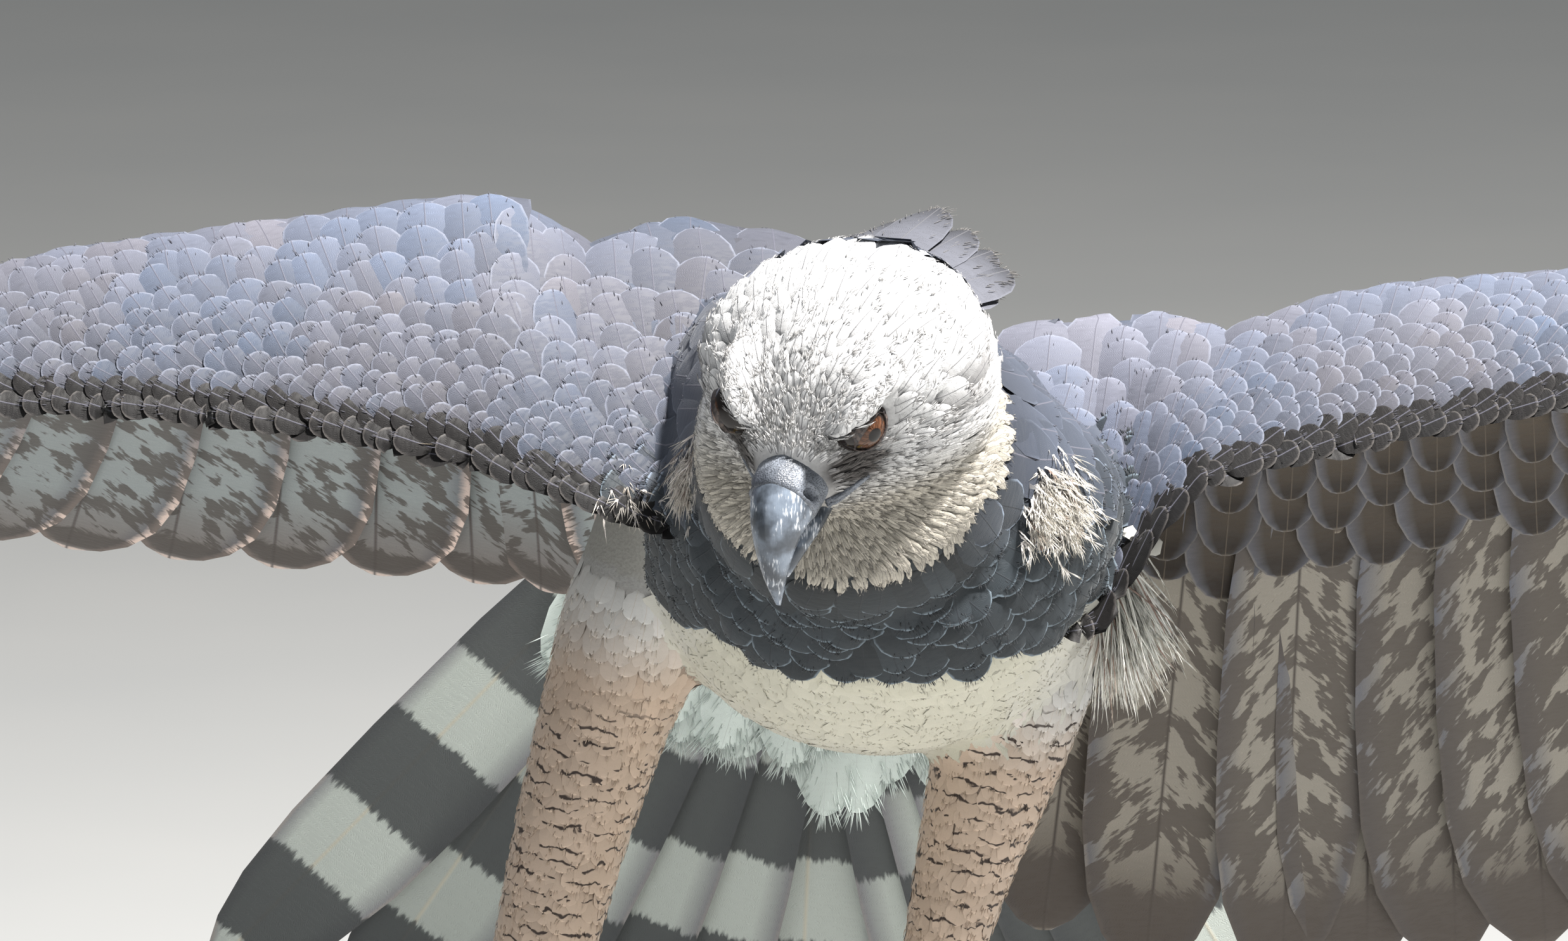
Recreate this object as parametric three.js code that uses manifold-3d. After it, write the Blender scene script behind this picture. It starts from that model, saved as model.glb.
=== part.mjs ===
// A harpy eagle about to land, life size, on a plain display stand. Millimetres, +Z up, the bird faces -Y.
// The origin is the centre of the base's underside. The bird is built round its shoulder centre and lifted
// from there.
import * as THREE from "three";
import { mergeVertices } from "three/addons/utils/BufferGeometryUtils.js";
import Module from "manifold-3d";

const wasm = await Module();
wasm.setup();

const V = (x, y, z) => new THREE.Vector3(x, y, z);
const DEG = Math.PI / 180;

// Pose: the whole bird leans to its own left, the trunk is pitched head up, and the head looks down and to
// its right.
const BANK = 12 * DEG;
const TRUNK_PITCH = 15 * DEG;
const HEAD_CENTRE = V(-30.5, -134, 12);
const HEAD_YAW = 27 * DEG;
const HEAD_PITCH = 37 * DEG;
const HEAD_ROLL = 4 * DEG;
const BIRD_PLACE = V(38, -85, 628); // the shoulder centre, from the middle of the base's underside

const GAP = 0.35; // between neighbouring nodes
const THIN = 0.7; // half the thickness of a flight feather at its shaft
const RIM = 0.45; // half its thickness at the edge
const SIMPLE = 0.15; // how far an edge may move where crossing feathers leave slivers

// Trunk stations: distance behind the shoulders, half width, centre height, rise of the back and drop of the
// breast, square to the trunk's axis. Between the raised shoulders the back is lower than they are.
const TRUNK = [
  [-92, 34, -52, 36, 40],
  [-78, 66, -50, 58, 70],
  [-48, 92, -47, 68, 96],
  [0, 105, -43, 68, 110],
  [50, 110, -45, 70, 116],
  [100, 107, -48, 76, 113],
  [150, 97, -46, 80, 101],
  [200, 80, -38, 74, 82],
  [250, 64, -28, 60, 62],
  [300, 50, -18, 42, 42],
  [335, 40, -10, 27, 27],
];
const TRUNK_SKEW = 0.28; // the back is higher on the side of the raised wing
const TRUNK_SIDE = 6; // the trunk sits a little to the bird's left of the head
const TRUNK_FRONT = -100;
const TRUNK_REAR = 345;

// Neck stations: centre in the bird's frame, half width, rise and drop.
const NECK = [
  [V(-6, 10, -40), 86, 66, 92],
  [V(-10, -40, -30), 82, 64, 86],
  [V(-17, -74, -20), 74, 63, 76],
  [V(-23, -100, -12), 69, 63, 71],
  [V(-27, -122, -6), 62, 60, 64],
];

// Head stations: distance ahead of the head's centre, half width, rise of the crown and drop of the throat.
const HEAD = [
  [-60, 34, 26, 28],
  [-50, 51, 41, 44],
  [-32, 65, 51, 58],
  [-12, 67, 53, 63],
  [8, 58, 49, 58],
  [22, 45, 44, 46],
  [34, 31, 35, 34],
  [44, 22, 24, 25],
  [51, 16, 15, 16],
];
const HEAD_BACK = -66;
const HEAD_FRONT = 55;
const EYE = { ahead: 27, side: 26, up: 20, radius: 12.5, socket: 11.6 };
const BROW = { side: 33.5, up: 34, length: 22, height: 5 };
const LID = { radius: 11, thick: 1.9 };
const CREST_WIDTH = 29;

// Bill outlines in the head's middle plane: ahead, up, half width.
const CULMEN = [
  [46, 17],
  [58, 16],
  [70, 10],
  [80, -3],
  [85, -19],
  [84.5, -36],
];
const TOMIUM = [
  [44, -11],
  [56, -12],
  [66, -14],
  [73, -20],
  [79, -30],
  [83.5, -37.5],
];
const BILL_HALF_WIDTH = [16, 15, 12.5, 9, 5, 1.2];
const CERE_FRONT = 0.2; // share of the bill's length that the cere takes
const LOWER_BILL = [
  [40, -12, 12.5, 6],
  [52, -13.5, 11.5, 5.8],
  [62, -16, 9, 5],
  [69, -21, 6, 3.6],
  [74, -27.5, 2.6, 1.6],
];
const NOSTRIL = { ahead: 55, side: 14, up: 4, radius: 2.6 };

// Legs: stations in the body's frame, as side, back, height, half width and half depth, and the ankle.
const LEGS = {
  right: {
    side: -1,
    thigh: [
      [-72, 92, -92, 44, 58],
      [-87, 84, -150, 36, 50],
      [-93, 72, -190, 30.5, 39],
      [-97, 62, -240, 27, 31],
      [-98.5, 53, -290, 24, 26],
      [-99, 47, -330, 18, 19],
      [-99, 44, -346, 14, 15],
    ],
    ankle: V(-99, 44, -340),
  },
  left: {
    side: 1,
    thigh: [
      [70, 92, -80, 44, 58],
      [80, 84, -135, 38, 50],
      [80.5, 72, -170, 30.5, 39],
      [76.5, 62, -215, 24, 30],
      [74, 53, -258, 19, 23],
      [72.5, 47, -300, 16.5, 18],
      [72, 44, -318, 14, 15],
    ],
    ankle: V(72, 44, -312),
  },
};
const TARSUS_LENGTH = 122;
const TARSUS_FORWARD = 30 * DEG;
const TARSUS_RADIUS = 14;
const SCUTES = 8;
const TOES = [
  { name: "inner", turn: -38, length: 62, radius: 10.5, claw: 72, thick: 8.4 },
  { name: "middle", turn: -2, length: 82, radius: 10.5, claw: 60, thick: 7.6 },
  { name: "outer", turn: 36, length: 64, radius: 9.5, claw: 52, thick: 6.8 },
  { name: "hind", turn: 180, length: 46, radius: 11.5, claw: 88, thick: 9.6 },
];

// Tail: direction in the body's frame, and the fan angle and length of each feather, from the bird's right to
// its left. The fan parts between the middle two.
const TAIL_ROOT = V(-8, 322, -92);
const TAIL_LEAN = 21 * DEG; // from straight down, backwards
const TAIL_TWIST = -3 * DEG; // against the bank
const TAIL_FAN = [
  [-27.5, 410],
  [-19, 408],
  [-11.5, 408],
  [-6, 406],
  [0, 406],
  [9, 407],
  [22.5, 407],
  [26, 406],
  [29, 404],
  [32, 402],
  [35.5, 398],
  [40.5, 392],
];
const TAIL_WIDTH = 70;
const TAIL_ROOT_STEP = 8.5;

// Wings, from the shoulder centre. The right wing is held flat, the left one is turned up to brake. lead and
// ridge are the leading edge and the highest line of the arm, as reach to the side, back and height, and the
// flow is the lie of the feathers at the body, the elbow, the wrist and the wing's tip.
const WINGS = {
  right: {
    side: -1,
    lead: [
      [50, -52, -62],
      [113, -50, -53],
      [152, -45, -40],
      [185, -40, -27],
      [252, -36, -15],
      [320, -34, -8],
      [387, -34, -6],
      [436, -38, 4],
    ],
    ridge: [
      [26, 62, 24],
      [46, 58, 50],
      [98, 56, 58],
      [137, 42, 50],
      [154, 38, 61],
      [172, 36, 71],
      [207, 36, 70],
      [271, 34, 61],
      [356, 28, 51],
      [405, 14, 42],
      [436, -4, 32],
    ],
    elbow: 183,
    wrist: 430,
    tip: V(-562, 10, 20),
    flowBody: V(0.1, 0.78, -0.63),
    flowElbow: V(0.05, 0.82, -0.57),
    flowWrist: V(-0.3, 0.87, -0.38),
    flowTip: V(-0.95, 0.3, -0.04),
  },
  left: {
    side: 1,
    lead: [
      [50, -50, -104],
      [84, -50, -99],
      [111, -45, -54],
      [128, -40, -37],
      [185, -36, -24],
      [252, -34, -11],
      [286, -34, -3],
      [386, -34, 22],
      [426, -38, 34],
    ],
    ridge: [
      [32, 56, -14],
      [54, 52, 12],
      [112, 50, 18],
      [139, 38, 13],
      [160, 36, 19],
      [186, 35, 28],
      [220, 35, 34],
      [288, 34, 39],
      [350, 28, 45],
      [395, 14, 50],
      [426, -4, 54],
    ],
    elbow: 190,
    wrist: 420,
    tip: V(548, 12, 82),
    flowBody: V(-0.1, 0.38, -0.915),
    flowElbow: V(-0.02, 0.4, -0.915),
    flowWrist: V(0.24, 0.5, -0.82),
    flowTip: V(0.93, 0.34, -0.02),
  },
};
const ARM_DEPTH = 36;
const ARM_START = 24; // reach at which the upper arm begins, inside the trunk
const FLOW_START = 95; // reach from which the feathers' lie turns
const ARM_SIDES = 13;
const TERTIALS = { count: 3, from: 96, length: 292, width: 70 };
const SECONDARIES = { count: 8, length: 338, width: 76 };
const PRIMARY_LENGTHS = [350, 368, 388, 410, 432, 448, 452, 436, 392, 320];
const PRIMARY_WIDTH = 56;
const COVERTS = { share: 0.44, width: 76, above: 15, below: 15 };
const ROLL = 8; // degrees each flight feather is turned, its outer edge raised over the next
const ALULA = 2;

// Stand: a round base and two rods, one behind each leg, in one piece.
const BASE_RADIUS = 210;
const BASE_HEIGHT = 22;
const ROD_RADIUS = 6;
// The top of each rod, from the shoulder centre.
const ROD_PLACES = { right: V(-146, 104, -205), left: V(26, 104, -190) };
const ROD_FOOT = 10; // how far above the floor each rod starts, inside the base
const BASE_BEVEL = 4;

const bodyFrame = new THREE.Matrix4().makeRotationY(BANK);
const headFrame = new THREE.Matrix4()
  .makeTranslation(HEAD_CENTRE)
  .multiply(new THREE.Matrix4().makeRotationZ(-HEAD_YAW))
  .multiply(new THREE.Matrix4().makeRotationX(HEAD_PITCH))
  .multiply(new THREE.Matrix4().makeRotationY(HEAD_ROLL));
const inBody = (v) => v.clone().applyMatrix4(bodyFrame);
// Head points are given as ahead, to the bird's left, up.
const inHead = (ahead, left, up) => V(left, -ahead, up).applyMatrix4(headFrame);

// The solid of a closed geometry, moved to a centre.
function solidFrom(geometry, centre = V(0, 0, 0)) {
  const bare = new THREE.BufferGeometry();
  bare.setAttribute("position", geometry.attributes.position);
  bare.setIndex(geometry.index);
  bare.translate(centre.x, centre.y, centre.z);
  const merged = mergeVertices(bare, 1e-3);
  const vertProperties = merged.attributes.position.array;
  const triVerts = new Uint32Array(merged.index.array);
  const made = new wasm.Manifold(new wasm.Mesh({ numProp: 3, vertProperties, triVerts }));
  if (made.volume() >= 0) return made;
  // Its faces look inwards, so each is turned over.
  for (let i = 0; i < triVerts.length; i += 3) {
    [triVerts[i + 1], triVerts[i + 2]] = [triVerts[i + 2], triVerts[i + 1]];
  }
  return new wasm.Manifold(new wasm.Mesh({ numProp: 3, vertProperties, triVerts }));
}
function solidOf(points, faces) {
  const geometry = new THREE.BufferGeometry();
  const places = points.flatMap((p) => [p.x, p.y, p.z]);
  geometry.setAttribute("position", new THREE.Float32BufferAttribute(places, 3));
  geometry.setIndex(faces.flat());
  return solidFrom(geometry);
}

// A skin over rings of equal count, closed at each end by a fan to a point.
function loft(rings, first, last) {
  const count = rings[0].length;
  const points = [...rings.flat(), first, last];
  const a = points.length - 2;
  const b = points.length - 1;
  const faces = [];
  for (let j = 0; j < count; j++) {
    const k = (j + 1) % count;
    faces.push([a, k, j], [b, (rings.length - 1) * count + j, (rings.length - 1) * count + k]);
    for (let i = 0; i + 1 < rings.length; i++) {
      const p = i * count;
      const q = p + count;
      faces.push([p + j, p + k, q + k], [p + j, q + k, q + j]);
    }
  }
  return solidOf(points, faces);
}

// An oval ring round a centre, with its own reach and squareness above and below.
function oval(centre, right, up, halfWidth, above, below, count = 24, squareTop = 1, squareLow = squareTop) {
  return Array.from({ length: count }, (_, i) => {
    const turn = (i / count) * 2 * Math.PI;
    const c = Math.cos(turn);
    const s = Math.sin(turn);
    const power = s > 0 ? squareTop : squareLow;
    const x = Math.sign(c) * Math.abs(c) ** power * halfWidth;
    const y = Math.sign(s) * Math.abs(s) ** power * (s > 0 ? above : below);
    return centre.clone().addScaledVector(right, x).addScaledVector(up, y);
  });
}

const mean = (ring) => ring.reduce((sum, p) => sum.add(p), V(0, 0, 0)).divideScalar(ring.length);

// A tube through points with a radius at each, flattened by a share across, and grown all round.
function tube(path, radii, side, count = 12, flat = 1, grow = 0) {
  const last = path.length - 1;
  const rings = path.map((p, i) => {
    const along = path[Math.min(i + 1, last)].clone().sub(path[Math.max(i - 1, 0)]).normalize();
    const up = along.clone().cross(side).normalize();
    const right = up.clone().cross(along).normalize();
    const centre = p.clone().addScaledVector(along, i === 0 ? -grow : i === last ? grow : 0);
    return oval(centre, right, up, radii[i] + grow, radii[i] * flat + grow, radii[i] * flat + grow, count);
  });
  return loft(rings, mean(rings[0]), mean(rings[last]));
}

const VANE_LONG = [
  [0, 0.3],
  [0.3, 0.92],
  [0.84, 0.92],
  [1, 0.26],
];
const VANE_SHORT = [
  [0, 0.5],
  [0.68, 1],
  [1, 0.36],
];

// One feather as a thin closed vane, square to a normal that may turn towards the tip. bend is how far the
// tip drops, lean the share of the width on the side that across points to, and roll its turn about the shaft.
function vane({ root, along, normal, length, width, ...options }) {
  const { normalTip = normal, bend = 0, lean = 0.5, roll = 0, shape = VANE_LONG, grow = 0 } = options;
  const d = along.clone().normalize();
  const rings = shape.map(([t, w]) => {
    const across = d.clone().cross(normal.clone().lerp(normalTip, t)).normalize().applyAxisAngle(d, roll);
    const up = across.clone().cross(d).normalize();
    const reach = length * t + (t === 0 ? -grow : t === 1 ? grow : 0);
    const shaft = root.clone().addScaledVector(d, reach).addScaledVector(up, -bend * t * t);
    const half = w * width + grow;
    const thick = THIN * (1.15 - 0.5 * t) + grow;
    const rim = RIM + grow;
    const place = (x, z) => shaft.clone().addScaledVector(across, x).addScaledVector(up, z);
    const sag = half * 0.05;
    return [
      place(half * lean, rim - sag),
      place(0, thick),
      place(-half * (1 - lean), rim - sag),
      place(-half * (1 - lean), -rim - sag),
      place(0, -thick),
      place(half * lean, -rim - sag),
    ];
  });
  const points = rings.flat();
  const faces = [];
  const last = (rings.length - 1) * 6;
  for (let i = 0; i + 1 < rings.length; i++) {
    const p = i * 6;
    const q = p + 6;
    for (const [j, k, flip] of [[0, 1, 0], [1, 2, 0], [2, 3, 0], [3, 4, 1], [4, 5, 1], [5, 0, 0]]) {
      if (flip) faces.push([p + j, p + k, q + j], [p + k, q + k, q + j]);
      else faces.push([p + j, p + k, q + k], [p + j, q + k, q + j]);
    }
  }
  for (const [a, b, c] of [[0, 1, 5], [1, 4, 5], [1, 2, 4], [2, 3, 4]]) {
    faces.push([a, c, b], [last + a, last + b, last + c]);
  }
  return solidOf(points, faces);
}

// One solid from many, with edges too short to see drawn together.
const join = (solids) => wasm.Manifold.union(solids).simplify(SIMPLE);

// The largest closed body of a solid.
function largest(solid) {
  const bodies = solid.decompose();
  bodies.sort((a, b) => b.volume() - a.volume());
  return bodies[0];
}

const spaced = (from, to, count) =>
  Array.from({ length: count }, (_, i) => from + ((to - from) * i) / (count - 1));

// A row of stations read between its entries by their first value.
function read(rows, at) {
  if (at <= rows[0][0]) return rows[0].slice(1);
  const found = rows.findIndex((row) => row[0] >= at);
  const i = found === -1 ? rows.length - 1 : found;
  const [a, b] = [rows[i - 1], rows[i]];
  const t = Math.min((at - a[0]) / (b[0] - a[0]), 1);
  return a.slice(1).map((v, k) => v + (b[k + 1] - v) * t);
}

// Trunk
// side is to the bird's left.
function trunkPoint(back, side, height) {
  const c = Math.cos(TRUNK_PITCH);
  const s = Math.sin(TRUNK_PITCH);
  return inBody(V(side + TRUNK_SIDE, back * c + height * s, -back * s + height * c));
}
function trunk(grow = 0) {
  const start = trunkPoint(0, 0, 0);
  const right = trunkPoint(0, 1, 0).sub(start);
  const up = trunkPoint(0, 0, 1).sub(start);
  const rings = TRUNK.map(([back, half, centre, rise, drop]) => {
    const middle = trunkPoint(back, 0, centre);
    const ring = oval(middle, right, up, half + grow, rise + grow, drop + grow, 20, 0.82, 0.95);
    return ring.map((p) => {
      const above = Math.max(p.clone().sub(middle).dot(up) / rise, 0);
      return p.addScaledVector(up, -TRUNK_SKEW * above * p.clone().sub(middle).dot(right));
    });
  });
  return loft(rings, trunkPoint(TRUNK_FRONT - grow, 0, -58), trunkPoint(TRUNK_REAR + grow, 0, -8));
}

function neck(grow = 0) {
  const right = inBody(V(1, 0, 0));
  const rings = NECK.map(([centre, half, rise, drop], i) => {
    const before = NECK[Math.max(i - 1, 0)][0];
    const after = NECK[Math.min(i + 1, NECK.length - 1)][0];
    const forward = after.clone().sub(before).normalize();
    const up = right.clone().cross(forward).normalize().negate();
    if (up.z < 0) up.negate();
    const side = forward.clone().cross(up).normalize();
    return oval(centre, side, up, half + grow, rise + grow, drop + grow, 20);
  });
  return loft(rings, NECK[0][0], NECK[NECK.length - 1][0].clone().add(V(-1, -22, -2)));
}

function headCore(grow = 0) {
  const right = inHead(0, 1, 0).sub(inHead(0, 0, 0));
  const up = inHead(0, 0, 1).sub(inHead(0, 0, 0));
  const rings = HEAD.map(([ahead, half, rise, drop]) =>
    oval(inHead(ahead, 0, 0), right, up, half + grow, rise + grow, drop + grow, 20, 0.95),
  );
  return loft(rings, inHead(HEAD_BACK - grow, 0, 0), inHead(HEAD_FRONT + grow, 0, 0));
}

const ball = (centre, radius, count = 12) =>
  solidFrom(new THREE.SphereGeometry(radius, count, count / 2), centre);

// The reach to the side of the head's surface at a place ahead of its centre and above it.
function headSide(ahead, up) {
  const [half, rise, drop] = read(HEAD, ahead);
  return half * Math.sqrt(Math.max(1 - (up / (up > 0 ? rise : drop)) ** 2, 0));
}
const eyeCentre = (side) => inHead(EYE.ahead, side * EYE.side, EYE.up);
const eyeAxis = (side) => inHead(0.5, side * 0.86, 0.06).sub(inHead(0, 0, 0)).normalize();
// The overhanging brow above an eye.
function brow(side) {
  const path = [-1, -0.5, 0, 0.5, 1].map((t) => {
    const ahead = EYE.ahead - 4 + t * BROW.length;
    return inHead(ahead, side * (BROW.side - 8 * t - 5 * t * t), BROW.up - t * 6 - t * t * 3);
  });
  const radii = [0.3, 0.8, 1, 0.8, 0.3].map((r) => r * BROW.height);
  return tube(path, radii, inHead(0, 0, 1).sub(inHead(0, 0, 0)), 7);
}
// The rim of the lids round an eye.
function lids(side) {
  const out = eyeAxis(side);
  const level = inHead(1, 0, -0.25).sub(inHead(0, 0, 0)).normalize();
  const tall = out.clone().cross(level).normalize();
  const flat = tall.clone().cross(out).normalize();
  const middle = eyeCentre(side).addScaledVector(out, EYE.radius * 0.5);
  const count = 10;
  const points = [];
  const faces = [];
  for (let i = 0; i < count; i++) {
    const turn = (i / count) * 2 * Math.PI;
    const way = flat.clone().multiplyScalar(Math.cos(turn)).addScaledVector(tall, Math.sin(turn) * 0.88);
    for (const [r, h] of [[-0.9, 1.1], [0.9, 0.8], [1.6, -2], [-0.9, -2]]) {
      const reach = LID.radius + r * LID.thick;
      points.push(middle.clone().addScaledVector(way, reach).addScaledVector(out, h * LID.thick));
    }
    const a = i * 4;
    const b = ((i + 1) % count) * 4;
    for (let k = 0; k < 4; k++) {
      const m = (k + 1) % 4;
      faces.push([a + k, a + m, b + m], [a + k, b + m, b + k]);
    }
  }
  return solidOf(points, faces);
}
// The line of the mouth from the bill to below the eye, cut into the cheek.
function gape(side) {
  const path = [45, 41, 37, 33, 29].map((ahead, i) => {
    const up = -11.5 + i * 1.1;
    return inHead(ahead, side * (headSide(ahead, up) + 0.4), up);
  });
  return tube(path, [1.6, 1.6, 1.5, 1.3, 0.8], inHead(0, 0, 1).sub(inHead(0, 0, 0)), 6);
}

function crest(grow = 0) {
  return [[3, -28, 37, 96, 0.8], [3, -40, 25, 86, 1]].flatMap(([count, ahead, up, length, wide]) =>
    spaced(-1, 1, count).map((spread) =>
      vane({
        root: inHead(ahead, spread * 28 * wide, up - Math.abs(spread) * 7),
        along: inHead(-0.95, spread * 0.46 * wide, -0.42 - Math.abs(spread) * 0.12).sub(inHead(0, 0, 0)),
        normal: inHead(-0.3, spread * 0.45, 1).sub(inHead(0, 0, 0)),
        length: length - Math.abs(spread) * 20,
        width: CREST_WIDTH,
        bend: 4,
        roll: -spread * 9 * DEG,
        shape: VANE_SHORT,
        grow,
      }),
    ),
  );
}

// The upper half of the bill between two shares of its length.
function upperBill(from, to, grow = 0) {
  const culmen = new THREE.CatmullRomCurve3(CULMEN.map(([a, u]) => V(0, a, u)));
  const tomium = new THREE.CatmullRomCurve3(TOMIUM.map(([a, u]) => V(0, a, u)));
  const widths = new THREE.CatmullRomCurve3(BILL_HALF_WIDTH.map((w, i) => V(w, i, 0)));
  const steps = 7;
  const rings = Array.from({ length: steps + 1 }, (_, i) => {
    const t = from + ((to - from) * i) / steps;
    const top = culmen.getPoint(t);
    const low = tomium.getPoint(t);
    const half = widths.getPoint(t).x + grow;
    const centre = top.clone().lerp(low, 0.62);
    const lift = top.clone().sub(centre);
    const drop = low.clone().sub(centre);
    return Array.from({ length: 16 }, (_, k) => {
      const turn = (k / 16) * 2 * Math.PI;
      const s = Math.sin(turn);
      const c = Math.cos(turn);
      const reach = s > 0 ? lift : drop;
      const p = centre.clone().addScaledVector(reach, Math.abs(s) * (1 + grow / reach.length()));
      const side = Math.sign(c) * Math.abs(c) ** (s > 0 ? 1.25 : 0.7) * half;
      return inHead(p.y, side, p.z);
    });
  });
  return loft(rings, mean(rings[0]), mean(rings[steps]));
}

function lowerBill(grow = 0) {
  const right = inHead(0, 1, 0).sub(inHead(0, 0, 0));
  const up = inHead(0.35, 0, 1).sub(inHead(0, 0, 0)).normalize();
  const rings = LOWER_BILL.map(([ahead, height, half, high]) =>
    oval(inHead(ahead, 0, height - high), right, up, half + grow, high + grow, high + grow, 14, 0.8),
  );
  return loft(rings, mean(rings[0]), mean(rings[rings.length - 1]));
}

// Legs
function thigh(leg, grow = 0) {
  const right = inBody(V(1, 0, 0));
  const back = inBody(V(0, 1, 0));
  const rings = leg.thigh.map(([x, y, z, half, deep]) =>
    oval(inBody(V(x, y, z)), right, back, half + grow, deep + grow, deep + grow, 16),
  );
  const [x, y, z] = leg.thigh[0];
  return loft(rings, inBody(V(x, y, z + 10)), inBody(leg.ankle).add(V(0, 0, -12 - grow)));
}
const tarsusWay = inBody(V(0, -Math.sin(TARSUS_FORWARD), -Math.cos(TARSUS_FORWARD)));
const tarsusRight = inBody(V(1, 0, 0));
const tarsusFront = tarsusRight.clone().cross(tarsusWay).normalize();
if (tarsusFront.y > 0) tarsusFront.negate();
const footPlace = (leg) => inBody(leg.ankle).addScaledVector(tarsusWay, TARSUS_LENGTH);

// The shank, with the scutes of its front as a row of steps.
function tarsus(leg, grow = 0) {
  const top = inBody(leg.ankle);
  const rings = [];
  for (let i = 0; i <= SCUTES * 2; i++) {
    const share = Math.min(Math.floor(i / 2) / SCUTES + (i % 2 ? 0.93 / SCUTES : 0), 1);
    const swell = 1 + 0.2 * (2 * share - 1) ** 4;
    const radius = TARSUS_RADIUS * swell;
    const step = i % 2 ? 2 : 0;
    const at = top.clone().addScaledVector(tarsusWay, TARSUS_LENGTH * share);
    const front = radius * 1.12 + step + grow;
    rings.push(oval(at, tarsusRight, tarsusFront, radius + grow, front, radius * 1.1 + grow, 9));
  }
  const sole = mean(rings[rings.length - 1]).addScaledVector(tarsusWay, 4 + grow);
  return loft(rings, top.clone().addScaledVector(tarsusWay, -8 - grow), sole);
}

// A toe's centreline: it leaves the foot flat and curls down towards the claw. Steps along it are its joints.
function toePath(leg, one) {
  const out = tarsusFront.clone().applyAxisAngle(tarsusWay, leg.side * one.turn * DEG);
  const points = [];
  const p = footPlace(leg).addScaledVector(tarsusWay, 2);
  const steps = 4;
  for (let i = 0; i <= steps; i++) {
    points.push(p.clone());
    const drop = (4 + 46 * (i / steps)) * DEG;
    const size = one.length / steps;
    p.addScaledVector(out, size * Math.cos(drop)).addScaledVector(tarsusWay, size * Math.sin(drop));
  }
  return { points, out };
}
function toe(leg, one, grow = 0) {
  const { points, out } = toePath(leg, one);
  const path = [];
  const radii = [];
  points.forEach((p, i) => {
    path.push(p);
    radii.push(one.radius * (1.1 - 0.06 * i));
    if (i + 1 < points.length) {
      path.push(p.clone().lerp(points[i + 1], 0.86));
      radii.push(one.radius * (1.18 - 0.06 * i));
    }
  });
  return tube(path, radii, out.clone().cross(tarsusWay), 6, 0.95, grow);
}
function claw(leg, one, grow = 0) {
  const { points, out } = toePath(leg, one);
  const path = [];
  const radii = [];
  const steps = 5;
  const p = points[points.length - 1].clone();
  for (let i = 0; i <= steps; i++) {
    path.push(p.clone());
    radii.push(one.thick * (1 - (i / steps) ** 1.2 * 0.92));
    const drop = (30 + 92 * (i / steps)) * DEG;
    const size = one.claw / steps;
    p.addScaledVector(out, size * Math.cos(drop)).addScaledVector(tarsusWay, size * Math.sin(drop));
  }
  return tube(path, radii, out.clone().cross(tarsusWay), 7, 1.1, grow);
}

// Tail
function tailAxes() {
  const axis = inBody(V(0, Math.sin(TAIL_LEAN), -Math.cos(TAIL_LEAN)));
  const right = inBody(V(1, 0, 0)).applyAxisAngle(axis, -TAIL_TWIST);
  const over = right.clone().cross(axis).normalize();
  if (over.z < 0) over.negate();
  return { axis, right, over, root: inBody(TAIL_ROOT) };
}
function rump(grow = 0) {
  const { axis, right, over, root } = tailAxes();
  const sizes = [
    [-30, 34, 18],
    [0, 44, 20],
    [35, 50, 15],
    [70, 50, 9],
  ];
  const rings = sizes.map(([t, half, high]) =>
    oval(root.clone().addScaledVector(axis, t), right, over, half + grow, high + grow, high + grow, 16),
  );
  return loft(rings, root.clone().addScaledVector(axis, -34), root.clone().addScaledVector(axis, 78));
}
function tailFeathers() {
  const { axis, right, over, root } = tailAxes();
  const fanned = (angle) =>
    axis.clone().multiplyScalar(Math.cos(angle * DEG)).addScaledVector(right, Math.sin(angle * DEG));
  const feathers = TAIL_FAN.map(([angle, length], i) => {
    const place = i - 5.5;
    const outward = Math.sign(place);
    return vane({
      root: root
        .clone()
        .addScaledVector(right, place * TAIL_ROOT_STEP)
        .addScaledVector(over, i === 5 ? 5.5 : 2 - Math.abs(place) * 1.2),
      along: fanned(angle),
      normal: over,
      length,
      width: TAIL_WIDTH,
      bend: -8,
      lean: outward < 0 ? 0.6 : 0.4,
      roll: i === 5 ? 0 : -outward * Math.min(4.5 + Math.abs(place), ROLL) * DEG,
    });
  });
  for (const [length, sideUp, count] of [[165, 1, 4], [185, -1, 4]]) {
    for (let i = 0; i < count; i++) {
      const spread = (i / (count - 1)) * 2 - 1;
      feathers.push(
        vane({
          root: root
            .clone()
            .addScaledVector(axis, -8)
            .addScaledVector(right, spread * 36)
            .addScaledVector(over, sideUp * (15 - Math.abs(spread) * 4)),
          along: fanned(2 + spread * 26).addScaledVector(over, sideUp * 0.03),
          normal: over,
          length: length * (1 - 0.12 * Math.abs(spread)),
          width: 56,
          bend: 0,
          roll: -spread * 10 * DEG,
          shape: VANE_SHORT,
        }),
      );
    }
  }
  return feathers;
}

// Wings
// The lie of the feathers at a reach from the body's middle, or past the wrist at a share of the hand.
function flow(wing, reach, hand = 0) {
  const unit = (v) => v.clone().normalize();
  if (hand > 0) return unit(wing.flowWrist).lerp(unit(wing.flowTip), hand).normalize();
  if (reach < wing.elbow) {
    const share = Math.max(reach - FLOW_START, 0) / (wing.elbow - FLOW_START);
    return unit(wing.flowBody).lerp(unit(wing.flowElbow), share).normalize();
  }
  const share = Math.min((reach - wing.elbow) / (wing.wrist - wing.elbow), 1);
  return unit(wing.flowElbow).lerp(unit(wing.flowWrist), share).normalize();
}
function stationPoint(wing, rows, reach) {
  const [y, z] = read(rows, reach);
  return V(wing.side * reach, y, z);
}
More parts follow.
